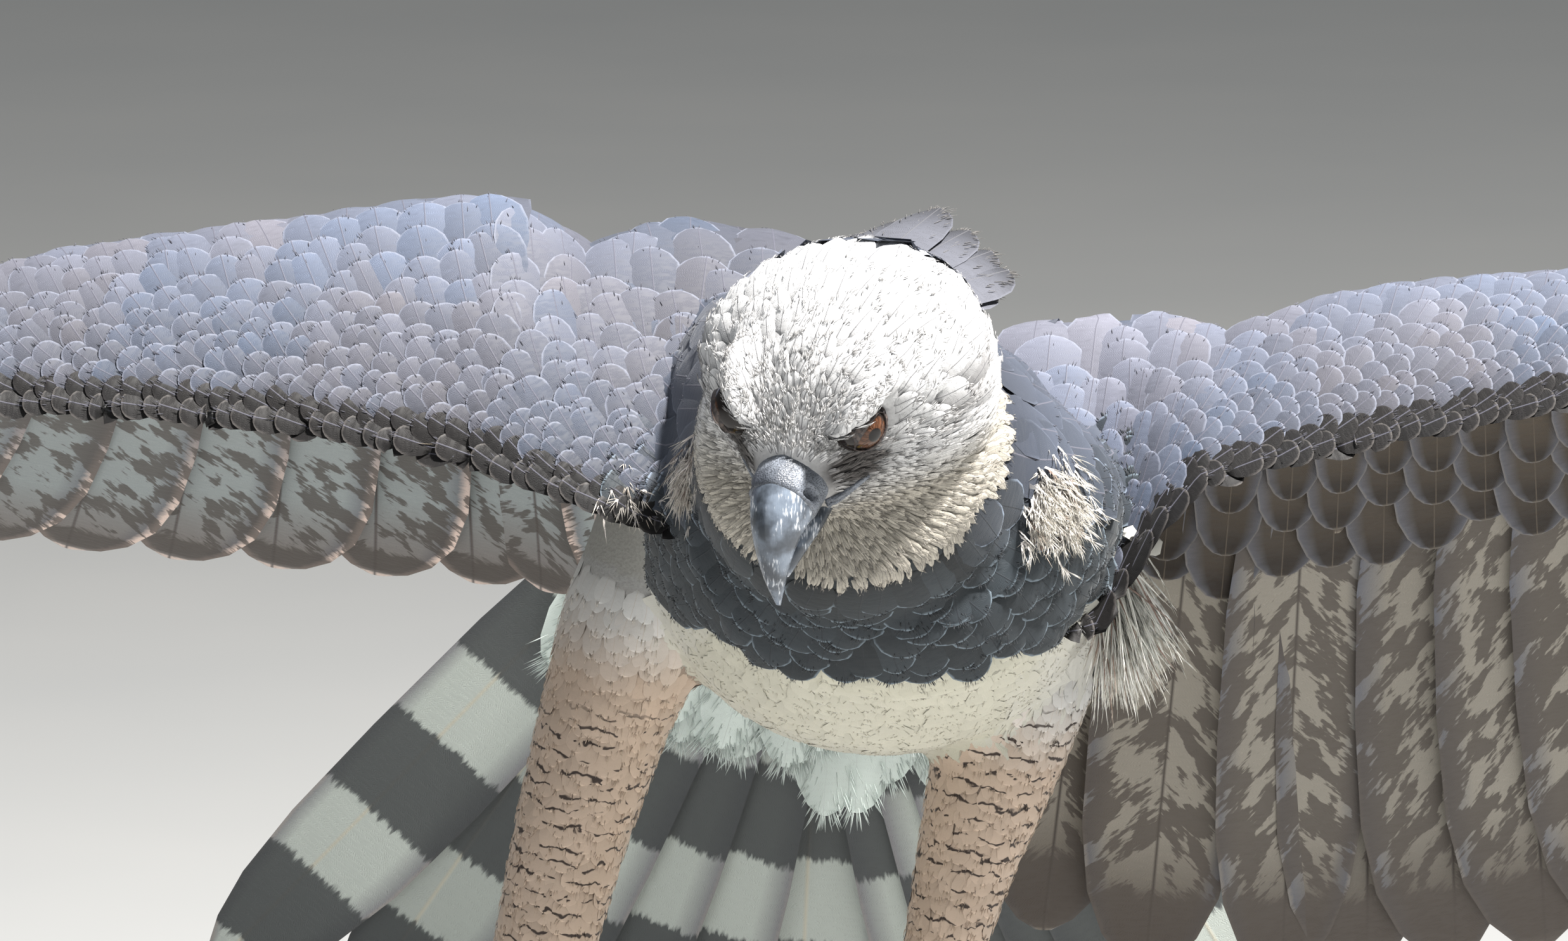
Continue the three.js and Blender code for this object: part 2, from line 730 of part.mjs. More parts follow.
// The section of the arm at a reach, in a plane along the body: leading edge, ridge, feather bases and
// underside.
function armRing(wing, reach, grow) {
  const lead = stationPoint(wing, wing.lead, reach);
  const ridge = stationPoint(wing, wing.ridge, reach);
  const way = flow(wing, reach).setX(0).normalize();
  const over = V(0, -way.z, way.y).normalize();
  const chord = ridge.clone().sub(lead);
  const face = V(0, -chord.z, chord.y).normalize();
  const size = Math.min(chord.length() / 80, 1);
  const depth = ARM_DEPTH * size;
  const outline = [
    lead.clone(),
    lead.clone().addScaledVector(chord, 0.2).addScaledVector(face, 4 * size),
    lead.clone().addScaledVector(chord, 0.58).addScaledVector(face, 7 * size),
    ridge.clone(),
    ridge.clone().addScaledVector(way, 38 * size).addScaledVector(over, -4),
    ridge.clone().addScaledVector(way, 42 * size).addScaledVector(over, -15 * size - 4),
    ridge.clone().addScaledVector(way, 8 * size).addScaledVector(over, -depth * 0.95),
    lead.clone().addScaledVector(chord, 0.2).addScaledVector(face, -depth * 0.42),
  ];
  const ring = new THREE.CatmullRomCurve3(outline, true, "centripetal").getPoints(ARM_SIDES).slice(0, ARM_SIDES);
  if (!grow) return ring;
  const middle = mean(ring);
  const normals = ring.map((_, i) => {
    const chordwise = ring[(i + 1) % ring.length].clone().sub(ring[(i + ring.length - 1) % ring.length]);
    return V(0, chordwise.z, -chordwise.y).normalize();
  });
  const outward = ring.reduce((sum, p, i) => sum + normals[i].dot(p.clone().sub(middle)), 0);
  const turn = Math.sign(outward);
  return ring.map((p, i) => p.clone().addScaledVector(normals[i], turn * grow * 1.3));
}
function arm(wing, from, to, steps, grow = 0) {
  const rings = spaced(from - grow, to + grow, steps + 1).map((reach) => armRing(wing, reach, grow));
  return loft(rings, mean(rings[0]), mean(rings[steps]));
}
function wristPoint(wing) {
  return stationPoint(wing, wing.lead, wing.wrist).lerp(stationPoint(wing, wing.ridge, wing.wrist), 0.5);
}
function hand(wing, grow = 0) {
  const wrist = wristPoint(wing);
  const way = wing.tip.clone().sub(wrist);
  const path = [-0.1, 0.12, 0.4, 0.75, 1, 1.15].map((t) => wrist.clone().addScaledVector(way, t));
  return tube(path, [17, 20, 16.5, 12, 8, 4], V(0, 1, 0), 10, 0.85, grow);
}
// Where a feather's root lies, at a reach along the arm or, past the wrist, at a share of the hand.
function rootPlace(wing, reach, hand) {
  return hand > 0 ? wristPoint(wing).lerp(wing.tip, hand) : stationPoint(wing, wing.ridge, reach);
}
// The direction out of the upper surface that the feathers make together, at a distance down them.
function overWing(wing, reach, hand, down) {
  const at = (step) => {
    const share = hand > 0 ? hand + step * 0.1 : 0;
    const beside = reach + step * 24;
    return rootPlace(wing, beside, share).addScaledVector(flow(wing, beside, share), down);
  };
  const over = at(1).sub(at(-1)).cross(flow(wing, reach, hand)).normalize();
  return over.multiplyScalar(wing.side);
}
// A flight feather or covert. depth is how far its root lies under the ridge, square to the feathers.
function feather(wing, reach, hand, depth, length, width, options = {}) {
  const way = flow(wing, reach, hand);
  const over = overWing(wing, reach, hand, 0);
  const root = rootPlace(wing, reach, hand);
  return vane({
    root: root.addScaledVector(way, options.start ?? 12).addScaledVector(over, -depth),
    along: way.clone().addScaledVector(over, options.lift ?? 0),
    normal: over,
    normalTip: overWing(wing, reach, hand, length),
    length,
    width,
    bend: options.bend ?? length * 0.05,
    lean: wing.side > 0 ? options.lean ?? 0.5 : 1 - (options.lean ?? 0.5),
    roll: -wing.side * (options.roll ?? ROLL) * DEG,
    shape: options.shape ?? VANE_LONG,
    grow: options.grow ?? 0,
  });
}
// Greater coverts over and under a row of flight feathers.
function covertRows(wing, from, to, count, length, grow) {
  const { share, width, above, below } = COVERTS;
  const upper = { grow, shape: VANE_SHORT, bend: 2, lift: -0.03 };
  const under = { ...upper, lift: 0.02 };
  return spaced(from, to, count).flatMap((reach) => [
    feather(wing, reach, 0, 11 - above, length * share, width, upper),
    feather(wing, reach, 0, 11 + below, length * share * 0.9, width, under),
  ]);
}
function upperArmFeathers(wing, grow = 0) {
  const { count, from, length, width } = TERTIALS;
  const rows = spaced(from, wing.elbow - 12, count).map((reach) =>
    feather(wing, reach, 0, 11, length + (reach - from) * 0.4, width, { grow }),
  );
  return [...rows, ...covertRows(wing, from + 8, wing.elbow - 20, 2, length, grow)];
}
function forearmFeathers(wing, grow = 0) {
  const { count, length, width } = SECONDARIES;
  const rows = spaced(wing.elbow + 17, wing.wrist - 8, count).map((reach) =>
    feather(wing, reach, 0, 11, length, width, { grow, lean: 0.42 }),
  );
  return [...rows, ...covertRows(wing, wing.elbow + 18, wing.wrist - 14, 4, length, grow)];
}
function handFeathers(wing, grow = 0) {
  const made = [];
  PRIMARY_LENGTHS.forEach((length, i) => {
    const share = ((i + 0.6) / PRIMARY_LENGTHS.length) ** 0.9;
    const lean = 0.4 - i * 0.012;
    const long = { grow, lean, start: 2, roll: ROLL + 2 };
    made.push(feather(wing, 0, share, 0, length, PRIMARY_WIDTH - i * 1.4, long));
    if (i % 3 === 0) {
      const short = { grow, shape: VANE_SHORT, lift: -0.02, bend: 2, start: 2, roll: ROLL + 2 };
      made.push(feather(wing, 0, share, -11, length * 0.36, 58 - i, short));
    }
  });
  for (let i = 0; i < ALULA; i++) {
    const root = wristPoint(wing).lerp(wing.tip, 0.12 + i * 0.06).add(V(0, -12 + i * 4, 6 + i * 3));
    const along = wing.tip.clone().sub(wristPoint(wing)).normalize().add(V(0, 0.12 + i * 0.2, 0.06));
    const size = { length: 120 - i * 14, width: 26 + grow, bend: 6 };
    made.push(vane({ root, along, normal: V(0, -0.3, 1), ...size, shape: VANE_SHORT, grow }));
  }
  return made;
}

// Stand
const FLOOR = -BIRD_PLACE.z;
function rod(place, grow = 0) {
  const length = place.z + grow - FLOOR - ROD_FOOT;
  const geometry = new THREE.CylinderGeometry(ROD_RADIUS + grow, ROD_RADIUS + grow, length, 12);
  geometry.rotateX(Math.PI / 2);
  return solidFrom(geometry, V(place.x, place.y, FLOOR + ROD_FOOT + length / 2));
}
function stand() {
  const outline = [
    [0, 0],
    [BASE_RADIUS, 0],
    [BASE_RADIUS, BASE_HEIGHT - BASE_BEVEL],
    [BASE_RADIUS - BASE_BEVEL, BASE_HEIGHT],
    [0, BASE_HEIGHT],
  ].map(([x, y]) => new THREE.Vector2(x, y));
  const geometry = new THREE.LatheGeometry(outline, 32);
  geometry.rotateX(Math.PI / 2);
  const base = solidFrom(geometry, V(-BIRD_PLACE.x, -BIRD_PLACE.y, FLOOR));
  return join([base, ...Object.values(ROD_PLACES).map((place) => rod(place))]);
}

const parts = [];
function add(name, solid, colour, roughness = 0.7, metalness = 0) {
  const m = largest(solid).getMesh();
  const geometry = new THREE.BufferGeometry();
  const places = new Float32Array(m.numVert * 3);
  for (let i = 0; i < m.numVert; i++) {
    places.set(m.vertProperties.subarray(i * m.numProp, i * m.numProp + 3), i * 3);
  }
  geometry.setAttribute("position", new THREE.BufferAttribute(places, 3));
  geometry.setIndex(new THREE.BufferAttribute(m.triVerts, 1));
  const material = new THREE.MeshStandardMaterial({ color: colour, roughness, metalness });
  const mesh = new THREE.Mesh(geometry, material);
  mesh.name = name;
  parts.push(mesh);
}

// Colours
const SLATE = 0x5f6873;
const DARK = 0x2b3036;
const PALE = 0xdcdad2;
const CREAM = 0xe6dcc8;
const HORN = 0x39414b;
const YELLOW = 0xd8b23c;
const CLAW = 0x15161a;
const BROWN = 0x7a4a22;
const STEEL = 0x8c9094;

// Assembly, from the trunk outwards: each piece is cut clear of what it grows from.
const trunkGrown = trunk(GAP);
const neckGrown = neck(GAP);
const headGrown = join([headCore(GAP), ...crest(GAP)]);
const rodsGrown = join(Object.values(ROD_PLACES).map((place) => rod(place, GAP)));

add("torso", trunk().subtract(rodsGrown), CREAM);
add("neck", neck().subtract(join([trunkGrown, headCore(GAP)])), DARK);

const eyes = { right: -1, left: 1 };
let headWhole = join([headCore(), join(crest()).subtract(neckGrown), brow(-1), brow(1)]);
for (const side of Object.values(eyes)) {
  const socket = ball(eyeCentre(side).addScaledVector(eyeAxis(side), 9), EYE.socket);
  headWhole = headWhole.subtract(socket).add(lids(side));
}
const headCuts = [trunkGrown, upperBill(0, 1, GAP), lowerBill(GAP)];
for (const side of Object.values(eyes)) headCuts.push(ball(eyeCentre(side), EYE.radius + GAP), gape(side));
add("head", headWhole.subtract(join(headCuts)), PALE);
for (const [name, side] of Object.entries(eyes)) {
  add(`eye_${name}`, ball(eyeCentre(side), EYE.radius), BROWN, 0.1);
}
const nostrils = Object.values(eyes).map((side) =>
  ball(inHead(NOSTRIL.ahead, side * NOSTRIL.side, NOSTRIL.up), NOSTRIL.radius, 8),
);
add("cere", upperBill(0, CERE_FRONT).subtract(join(nostrils)), HORN, 0.5);
add("bill_upper", upperBill(CERE_FRONT + 0.006, 1), HORN, 0.3);
add("bill_lower", lowerBill().subtract(upperBill(0, 1, GAP)), HORN, 0.4);

for (const [name, leg] of Object.entries(LEGS)) {
  add(`thigh_${name}`, thigh(leg).subtract(trunkGrown).subtract(rodsGrown), CREAM);
  add(`tarsus_${name}`, tarsus(leg).subtract(thigh(leg, GAP)), YELLOW);
  const footCuts = join([tarsus(leg, GAP), ...TOES.map((one) => claw(leg, one, GAP))]);
  add(`foot_${name}`, join(TOES.map((one) => toe(leg, one))).subtract(footCuts), YELLOW);
  for (const one of TOES) add(`claw_${one.name}_${name}`, claw(leg, one), CLAW, 0.25);
}

add("tail", join([rump(), ...tailFeathers()]).subtract(trunkGrown), SLATE);

for (const [name, wing] of Object.entries(WINGS)) {
  const upper = join([arm(wing, ARM_START, wing.elbow, 6), ...upperArmFeathers(wing)]);
  const fore = join([arm(wing, wing.elbow + GAP, wing.wrist, 7), ...forearmFeathers(wing)]);
  const foreGrown = join([arm(wing, wing.elbow + GAP, wing.wrist, 7, GAP), ...forearmFeathers(wing, GAP)]);
  const handGrown = join([hand(wing, GAP), ...handFeathers(wing, GAP)]);
  const bodyGrown = join([trunkGrown, neckGrown, headGrown, thigh(LEGS[name], GAP)]);
  add(`upper_arm_${name}`, upper.subtract(foreGrown).subtract(bodyGrown), SLATE);
  add(`forearm_${name}`, fore.subtract(handGrown), SLATE);
  add(`hand_${name}`, join([hand(wing), ...handFeathers(wing)]), DARK);
}

add("stand_whole", stand(), STEEL, 0.35, 1);

const bird = new THREE.Group();
bird.position.copy(BIRD_PLACE);
for (const mesh of parts) bird.add(mesh);
const model = new THREE.Group();
model.add(bird);
export default model;
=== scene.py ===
import logging
import math
from collections.abc import Callable
from dataclasses import dataclass, field
from enum import Enum
from functools import cache

import bmesh
import bpy
import numpy as np
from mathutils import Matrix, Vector
from mathutils.bvhtree import BVHTree
from mathutils.kdtree import KDTree


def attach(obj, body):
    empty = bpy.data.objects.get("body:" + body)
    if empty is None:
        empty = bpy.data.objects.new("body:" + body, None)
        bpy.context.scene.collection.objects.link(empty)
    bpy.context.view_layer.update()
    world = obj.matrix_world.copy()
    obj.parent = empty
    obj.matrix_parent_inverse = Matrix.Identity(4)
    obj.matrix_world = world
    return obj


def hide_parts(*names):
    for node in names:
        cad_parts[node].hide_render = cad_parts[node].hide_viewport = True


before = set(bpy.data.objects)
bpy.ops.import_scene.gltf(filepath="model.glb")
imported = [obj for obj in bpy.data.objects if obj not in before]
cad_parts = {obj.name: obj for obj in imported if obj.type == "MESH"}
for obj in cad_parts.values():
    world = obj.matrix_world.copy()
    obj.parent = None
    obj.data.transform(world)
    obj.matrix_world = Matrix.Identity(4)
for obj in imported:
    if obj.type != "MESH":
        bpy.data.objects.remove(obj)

Array = np.ndarray
Colour = tuple[float, float, float]
Shell = tuple[np.ndarray, list]
Socket = bpy.types.NodeSocket
Material = bpy.types.Material
LOG = logging.getLogger("eagle")
BODY = "root"
# The shoulder centre in the row frame; lengths in this file are in millimetres from it.
SHOULDERS = np.array([38.0, -85.0, 628.0])
CHANCE = np.random.default_rng(7)


def unit(v: Array) -> Array:
    """Vectors brought to length one along their last axis."""
    return v / np.maximum(np.linalg.norm(v, axis=-1, keepdims=True), 1e-9)


def vec(*numbers: float) -> Array:
    """Numbers as a float array."""
    return np.array(numbers, dtype=float)


def turn(axis: str, degrees: float) -> Array:
    """A rotation matrix about one axis.

    Args:
        axis: "x", "y" or "z".
        degrees: the turn, right-handed.

    Returns:
        The 3 by 3 matrix.
    """
    c, s = math.cos(math.radians(degrees)), math.sin(math.radians(degrees))
    return {
        "x": np.array([[1, 0, 0], [0, c, -s], [0, s, c]]),
        "y": np.array([[c, 0, s], [0, 1, 0], [-s, 0, c]]),
        "z": np.array([[c, -s, 0], [s, c, 0], [0, 0, 1]]),
    }[axis]


def spin(v: Array, axis: Array, radians: Array | float) -> Array:
    """Vectors turned about unit axes.

    Args:
        v: vectors.
        axis: unit axes that broadcast with them.
        radians: the turn of each.

    Returns:
        The turned vectors.
    """
    turned = np.asarray(radians, dtype=float)[..., None]
    c, s = np.cos(turned), np.sin(turned)
    return v * c + np.cross(axis, v) * s + axis * (v * axis).sum(-1, keepdims=True) * (1 - c)


def square(a: Array, b: Array) -> Array:
    """Unit vectors square to two sets of vectors."""
    return unit(np.cross(a, b))


def bowed(root: Array, way: Array, up: Array, length: Array, at: Array, bend: Array) -> Array:
    """Centre lines of feathers that run straight and bow away from their upper side.

    Args:
        root: N roots.
        way: N directions.
        up: directions out of the upper side that broadcast with the stations.
        length: N lengths.
        at: the stations' shares of the length.
        bend: how far each tip falls.

    Returns:
        The lines, as (N, K, 3).
    """
    line = root[:, None] + way[:, None] * (length[:, None] * at)[..., None]
    return line - up * (np.asarray(bend)[..., None] * at**2)[..., None]


def smooth_line(points: Array, sub: int, closed: bool = False) -> Array:
    """A Catmull-Rom line through control points.

    Args:
        points: N lines of P control points, as (N, P, 3).
        sub: steps between two control points.
        closed: whether each line is a loop.

    Returns:
        The points of each line.
    """
    if closed:
        padded = np.concatenate([points[:, -1:], points, points[:, :2]], axis=1)
    else:
        padded = np.concatenate(
            [2 * points[:, :1] - points[:, 1:2], points, 2 * points[:, -1:] - points[:, -2:-1]], axis=1
        )
    t = (np.arange(sub) / sub)[None, None, :, None]
    a, b, c, d = (padded[:, i:padded.shape[1] - 3 + i, None] for i in range(4))
    line = 0.5 * (2 * b + (c - a) * t + (2 * a - 5 * b + 4 * c - d) * t**2 + (3 * b - a - 3 * c + d) * t**3)
    line = line.reshape(points.shape[0], -1, 3)
    return line if closed else np.concatenate([line, points[:, -1:]], axis=1)


def along_line(line: Array, s: Array) -> Array:
    """Places at distances along lines, straight on past their ends.

    Args:
        line: N lines of P points.
        s: K distances along each, as (N, K).

    Returns:
        The places, as (N, K, 3).
    """
    parts = np.diff(line, axis=1)
    sizes = np.linalg.norm(parts, axis=-1)
    starts = np.cumsum(sizes, axis=1) - sizes
    share = (s[:, :, None] - starts[:, None]) / np.maximum(sizes[:, None], 1e-6)
    share[:, :, :-1] = np.minimum(share[:, :, :-1], 1)
    share[:, :, 1:] = np.maximum(share[:, :, 1:], 0)
    return line[:, :1] + np.einsum("nkp,npd->nkd", share, parts)


class Pose:
    """The bird's attitude: its bank, the pitch of the trunk, and the head's place, yaw and pitch."""

    BANK = turn("y", 12)
    TRUNK = turn("y", 12) @ turn("x", -15)
    TRUNK_SIDE = 6.0
    HEAD = turn("z", -27) @ turn("x", 37) @ turn("y", 4)
    HEAD_CENTRE = vec(-30.5, -134, 12)

    @classmethod
    def body(cls, p: Array) -> Array:
        """Points or vectors of the body's frame (side, back, up), turned by the bank."""
        return p @ cls.BANK.T

    @classmethod
    def trunk(cls, p: Array) -> Array:
        """Points of the trunk's frame (side, back, up)."""
        return p @ cls.TRUNK.T + cls.body(vec(cls.TRUNK_SIDE, 0, 0))

    @classmethod
    def to_trunk(cls, p: Array) -> Array:
        """The trunk's own measures (side, back, up) of points."""
        return (p - cls.body(vec(cls.TRUNK_SIDE, 0, 0))) @ cls.TRUNK

    @classmethod
    def head(cls, p: Array) -> Array:
        """Points given as ahead, to the bird's left, up of the head's centre."""
        return np.stack([p[..., 1], -p[..., 0], p[..., 2]], axis=-1) @ cls.HEAD.T + cls.HEAD_CENTRE

    @classmethod
    def head_way(cls, ahead: float, left: float, up: float) -> Array:
        """A unit direction of the head's frame."""
        return unit(cls.head(vec(ahead, left, up)) - cls.HEAD_CENTRE)

    @classmethod
    def to_head(cls, p: Array) -> Array:
        """The head's own measures (ahead, left, up) of points."""
        q = (p - cls.HEAD_CENTRE) @ cls.HEAD
        return np.stack([-q[..., 1], q[..., 0], q[..., 2]], axis=-1)


# Shader trees


class Tree:
    """A node tree under construction, with short calls for the nodes that the finishes share."""

    def __init__(self, tree: bpy.types.NodeTree) -> None:
        """Keeps the tree."""
        self.tree = tree

    def add(self, kind: str, props: dict | None = None, **inputs: object) -> bpy.types.Node:
        """Adds a node.

        Args:
            kind: its type, without the prefix ShaderNode.
            props: settings of the node.
            **inputs: values or sockets by input name, with _ for a space.

        Returns:
            The node.
        """
        node = self.tree.nodes.new(
            kind if kind.startswith(("Node", "Geometry", "Function")) else f"ShaderNode{kind}"
        )
        for key, value in (props or {}).items():
            setattr(node, key, value)
        for key, value in inputs.items():
            self.put(node.inputs[key.replace("_", " ")], value)
        return node

    def put(self, socket: Socket, value: object) -> None:
        """Links a socket to another, or sets its value."""
        if isinstance(value, Socket):
            self.tree.links.new(value, socket)
        elif isinstance(value, (tuple, list)) and socket.type == "RGBA" and len(value) == 3:
            socket.default_value = (*value, 1)
        else:
            socket.default_value = value

    def math(self, operation: str, *values: object, clamp: bool = False) -> Socket:
        """A Math node's result."""
        node = self.add("Math", {"operation": operation, "use_clamp": clamp})
        for socket, value in zip(node.inputs, values):
            self.put(socket, value)
        return node.outputs[0]

    def step(self, value: object, low: float, high: float) -> Socket:
        """A smooth step of a value from 0 at low to 1 at high."""
        node = self.add(
            "MapRange", {"interpolation_type": "SMOOTHSTEP"}, Value=value, From_Min=low, From_Max=high
        )
        return node.outputs[0]

    def mix(self, factor: object, a: object, b: object, blend: str = "MIX") -> Socket:
        """Two colours mixed."""
        node = self.add("Mix", {"data_type": "RGBA", "blend_type": blend})
        for socket, value in zip((node.inputs[0], node.inputs[6], node.inputs[7]), (factor, a, b)):
            self.put(socket, value)
        return node.outputs[2]

    def noise(self, vector: object, scale: float, detail: float = 2.0, rough: float = 0.5) -> Socket:
        """The value of a noise over a vector."""
        return self.add("TexNoise", Vector=vector, Scale=scale, Detail=detail, Roughness=rough).outputs[0]

    def parts(self, vector: object) -> list[Socket]:
        """The three numbers of a vector."""
        return list(self.add("SeparateXYZ", Vector=vector).outputs)

    def vector(self, x: object, y: object, z: object) -> Socket:
        """Three numbers as a vector."""
        return self.add("CombineXYZ", X=x, Y=y, Z=z).outputs[0]

    def attribute(self, name: str, output: str = "Vector") -> Socket:
        """An attribute of the mesh."""
        return self.add("Attribute", {"attribute_name": name}).outputs[output]

    def place(self) -> Socket:
        """Places in the object's own coordinates."""
        return self.add("TexCoord").outputs["Object"]

    def shaded(self, colour: object, shade: object) -> Socket:
        """A colour times a number."""
        return self.mix(1.0, colour, self.vector(shade, shade, shade), "MULTIPLY")


def new_group(name: str, ins: dict[str, object], outs: dict[str, str]) -> tuple[bpy.types.NodeTree, Tree]:
    """A shader node group with named sockets.

    Args:
        name: of the group.
        ins: input names with their default values, a colour where it is a tuple.
        outs: output names with their socket types.

    Returns:
        The group, and a tree to build it with.
    """
    group = bpy.data.node_groups.new(name, "ShaderNodeTree")
    for key, value in ins.items():
        kind = "NodeSocketColor" if isinstance(value, tuple) else "NodeSocketFloat"
        socket = group.interface.new_socket(key, in_out="INPUT", socket_type=kind)
        socket.default_value = (*value, 1) if isinstance(value, tuple) else value
    for key, kind in outs.items():
        group.interface.new_socket(key, in_out="OUTPUT", socket_type=kind)
    return group, Tree(group)


@cache
def vane_group() -> bpy.types.NodeTree:
    """A feather's ground colour, barbs, shaft and rim, read from the mesh's lie, share, tint and rim."""
    ins = {
        "Barb gap": 0.8, "Barb slant": 1.2, "Barb depth": 0.3, "Shaft width": 0.5, "Shaft": (0.3, 0.3, 0.3),
        "Rim width": 1.0, "Rim strength": 0.6, "Mottle": 0.2
    }
    group, t = new_group(
        "vane", ins, {"Colour": "NodeSocketColor", "Height": "NodeSocketFloat", "Rough": "NodeSocketFloat"}
    )
    given = t.add("NodeGroupInput").outputs
    lie = t.attribute("lie")
    across, along, left = t.parts(lie)
    side, share, who = t.parts(t.attribute("share"))
    wide = t.math("ABSOLUTE", across)
    fine = t.noise(
        t.vector(t.math("MULTIPLY", across, 0.35), along, t.math("MULTIPLY", who, 90.0)), 0.55, 3.0
    )
    phase = t.math("SUBTRACT", along, t.math("MULTIPLY", wide, given["Barb slant"]))
    phase = t.math("ADD", t.math("DIVIDE", phase, given["Barb gap"]), t.math("MULTIPLY", fine, 5.0))
    barb = t.math("MULTIPLY_ADD", t.math("SINE", t.math("MULTIPLY", phase, 6.283)), 0.5, 0.5)
    barb = t.math("MULTIPLY", barb, t.step(fine, 0.38, 0.62))
    shaft = t.math(
        "SUBTRACT", 1.0, t.math("DIVIDE", wide, t.math("MAXIMUM", given["Shaft width"], 0.01)), clamp=True
    )
    reach = t.math("DIVIDE", wide, t.math("MAXIMUM", t.math("ABSOLUTE", side), 0.05))
    inwards = t.math("MINIMUM", t.math("SUBTRACT", reach, wide), left)
    inwards = t.math("ADD", inwards, t.math("MULTIPLY", t.math("SUBTRACT", fine, 0.5), given["Rim width"]))
    rim = t.math("SUBTRACT", 1.4, t.math("DIVIDE", inwards, given["Rim width"]), clamp=True)
    rim = t.math("MULTIPLY", rim, t.step(share, 0.4, 0.85))
    rim = t.math("MULTIPLY", rim, given["Rim strength"])
    colour = t.mix(rim, t.attribute("tint", "Color"), t.attribute("rim", "Color"))
    shade = t.math("SUBTRACT", 1.0, t.math("MULTIPLY", barb, given["Barb depth"]))
    cloud = t.math(
        "MULTIPLY_ADD", t.math("SUBTRACT", fine, 0.5), t.math("MULTIPLY", given["Mottle"], 2.0), 1.0
    )
    shade = t.math("MULTIPLY", shade, cloud)
    colour = t.shaded(colour, shade)
    colour = t.mix(shaft, colour, given["Shaft"])
    height = t.math("ADD", t.math("MULTIPLY", barb, -0.5), shaft)
    out = t.add("NodeGroupOutput")
    t.put(out.inputs["Colour"], colour)
    t.put(out.inputs["Height"], height)
    t.put(out.inputs["Rough"], t.math("MULTIPLY_ADD", fine, 0.3, 0.5))
    return group


@cache
def blotch_group() -> bpy.types.NodeTree:
    """A mask of ragged dark blotches that run with the barbs, and of the dark end of the feather."""
    group, t = new_group(
        "blotch", {"Bar gap": 48.0, "Dark": 0.5, "Tip": 20.0, "Rim": 4.0}, {"Mask": "NodeSocketFloat"}
    )
    given = t.add("NodeGroupInput").outputs
    across, along, left = t.parts(t.attribute("lie"))
    side, _, who = t.parts(t.attribute("share"))
    slant = t.math("SUBTRACT", along, t.math("MULTIPLY", t.math("ABSOLUTE", across), 0.9))
    seed = t.math("MULTIPLY", who, 400.0)
    speck = t.noise(
        t.vector(t.math("MULTIPLY", across, 0.12), t.math("MULTIPLY", slant, 0.4), seed), 1.0, 3.0, 0.65
    )
    cloud = t.noise(
        t.vector(t.math("MULTIPLY", across, 0.09), t.math("MULTIPLY", slant, 0.075), seed), 1.0, 2.0
    )
    bar = t.math(
        "SINE", t.math("MULTIPLY", t.math("DIVIDE", t.math("SUBTRACT", left, given["Tip"]),
        given["Bar gap"]), 6.283)
    )
    total = t.math("MULTIPLY_ADD", bar, -0.05, t.math("MULTIPLY_ADD", speck, 0.5, cloud))
    total = t.math("MULTIPLY_ADD", t.math("ABSOLUTE", side), 0.12, total)
    mask = t.step(t.math("ADD", total, given["Dark"]), 1.3, 1.36)
    ragged = t.math("MULTIPLY_ADD", speck, 22.0, left)
    end = t.math("DIVIDE", t.math("SUBTRACT", t.math("ADD", given["Tip"], 14.0), ragged), 5.0, clamp=True)
    clear = t.math("SUBTRACT", t.math("MULTIPLY_ADD", speck, 1.5, left), given["Rim"], clamp=True)
    t.put(t.add("NodeGroupOutput").inputs["Mask"], t.math("MULTIPLY", t.math("MAXIMUM", mask, end), clear))
    return group


@cache
def wear_group() -> bpy.types.NodeTree:
    """Fine scratches and clouding over object coordinates, as a factor and a height."""
    group, t = new_group(
        "wear", {"Scale": 200.0, "Stretch": 6.0}, {"Factor": "NodeSocketFloat", "Height": "NodeSocketFloat"}
    )
    given = t.add("NodeGroupInput").outputs
    place = t.place()
    x, y, z = t.parts(place)
    long = t.vector(t.math("MULTIPLY", x, given["Stretch"]), y, z)
    scratch = t.add("TexNoise", Vector=long, Scale=given["Scale"], Detail=4.0).outputs[0]
    cloud = t.noise(place, 45.0, 3.0)
    out = t.add("NodeGroupOutput")
    t.put(out.inputs["Factor"], t.math("MULTIPLY", scratch, cloud))
    t.put(out.inputs["Height"], scratch)
    return group


def new_material(name: str) -> tuple[Material, Tree, bpy.types.Node]:
    """A material with an empty Principled shader.

    Args:
        name: of the material.

    Returns:
        The material, its tree and the shader.
    """
    material = bpy.data.materials.new(name)
    material.use_nodes = True
    shader = material.node_tree.nodes["Principled BSDF"]
    return material, Tree(material.node_tree), shader


def use_group(t: Tree, group: bpy.types.NodeTree, **inputs: object) -> bpy.types.bpy_prop_collection:
    """The outputs of a shared group placed in a material with its own values."""
    node = t.tree.nodes.new("ShaderNodeGroup")
    node.node_tree = group
    for key, value in inputs.items():
        t.put(node.inputs[key.replace("_", " ")], value)
    return node.outputs


def dress(t: Tree, shader: bpy.types.Node, colour: object, rough: object, height: object = None,
          strength: float = 0.5, distance: float = 0.0005) -> None:
    """Feeds a shader.

    Args:
        t: the material's tree.
        shader: its Principled shader.
        colour: what feeds Base Color.
        rough: what feeds Roughness.
        height: what feeds a bump, none where not given.
        strength: of the bump.
        distance: its depth in metres.
    """
    t.put(shader.inputs["Base Color"], colour)
    t.put(shader.inputs["Roughness"], rough)
    if height is not None:
        bump = t.add("Bump", Strength=strength, Distance=distance, Height=height)
        t.put(shader.inputs["Normal"], bump.outputs[0])


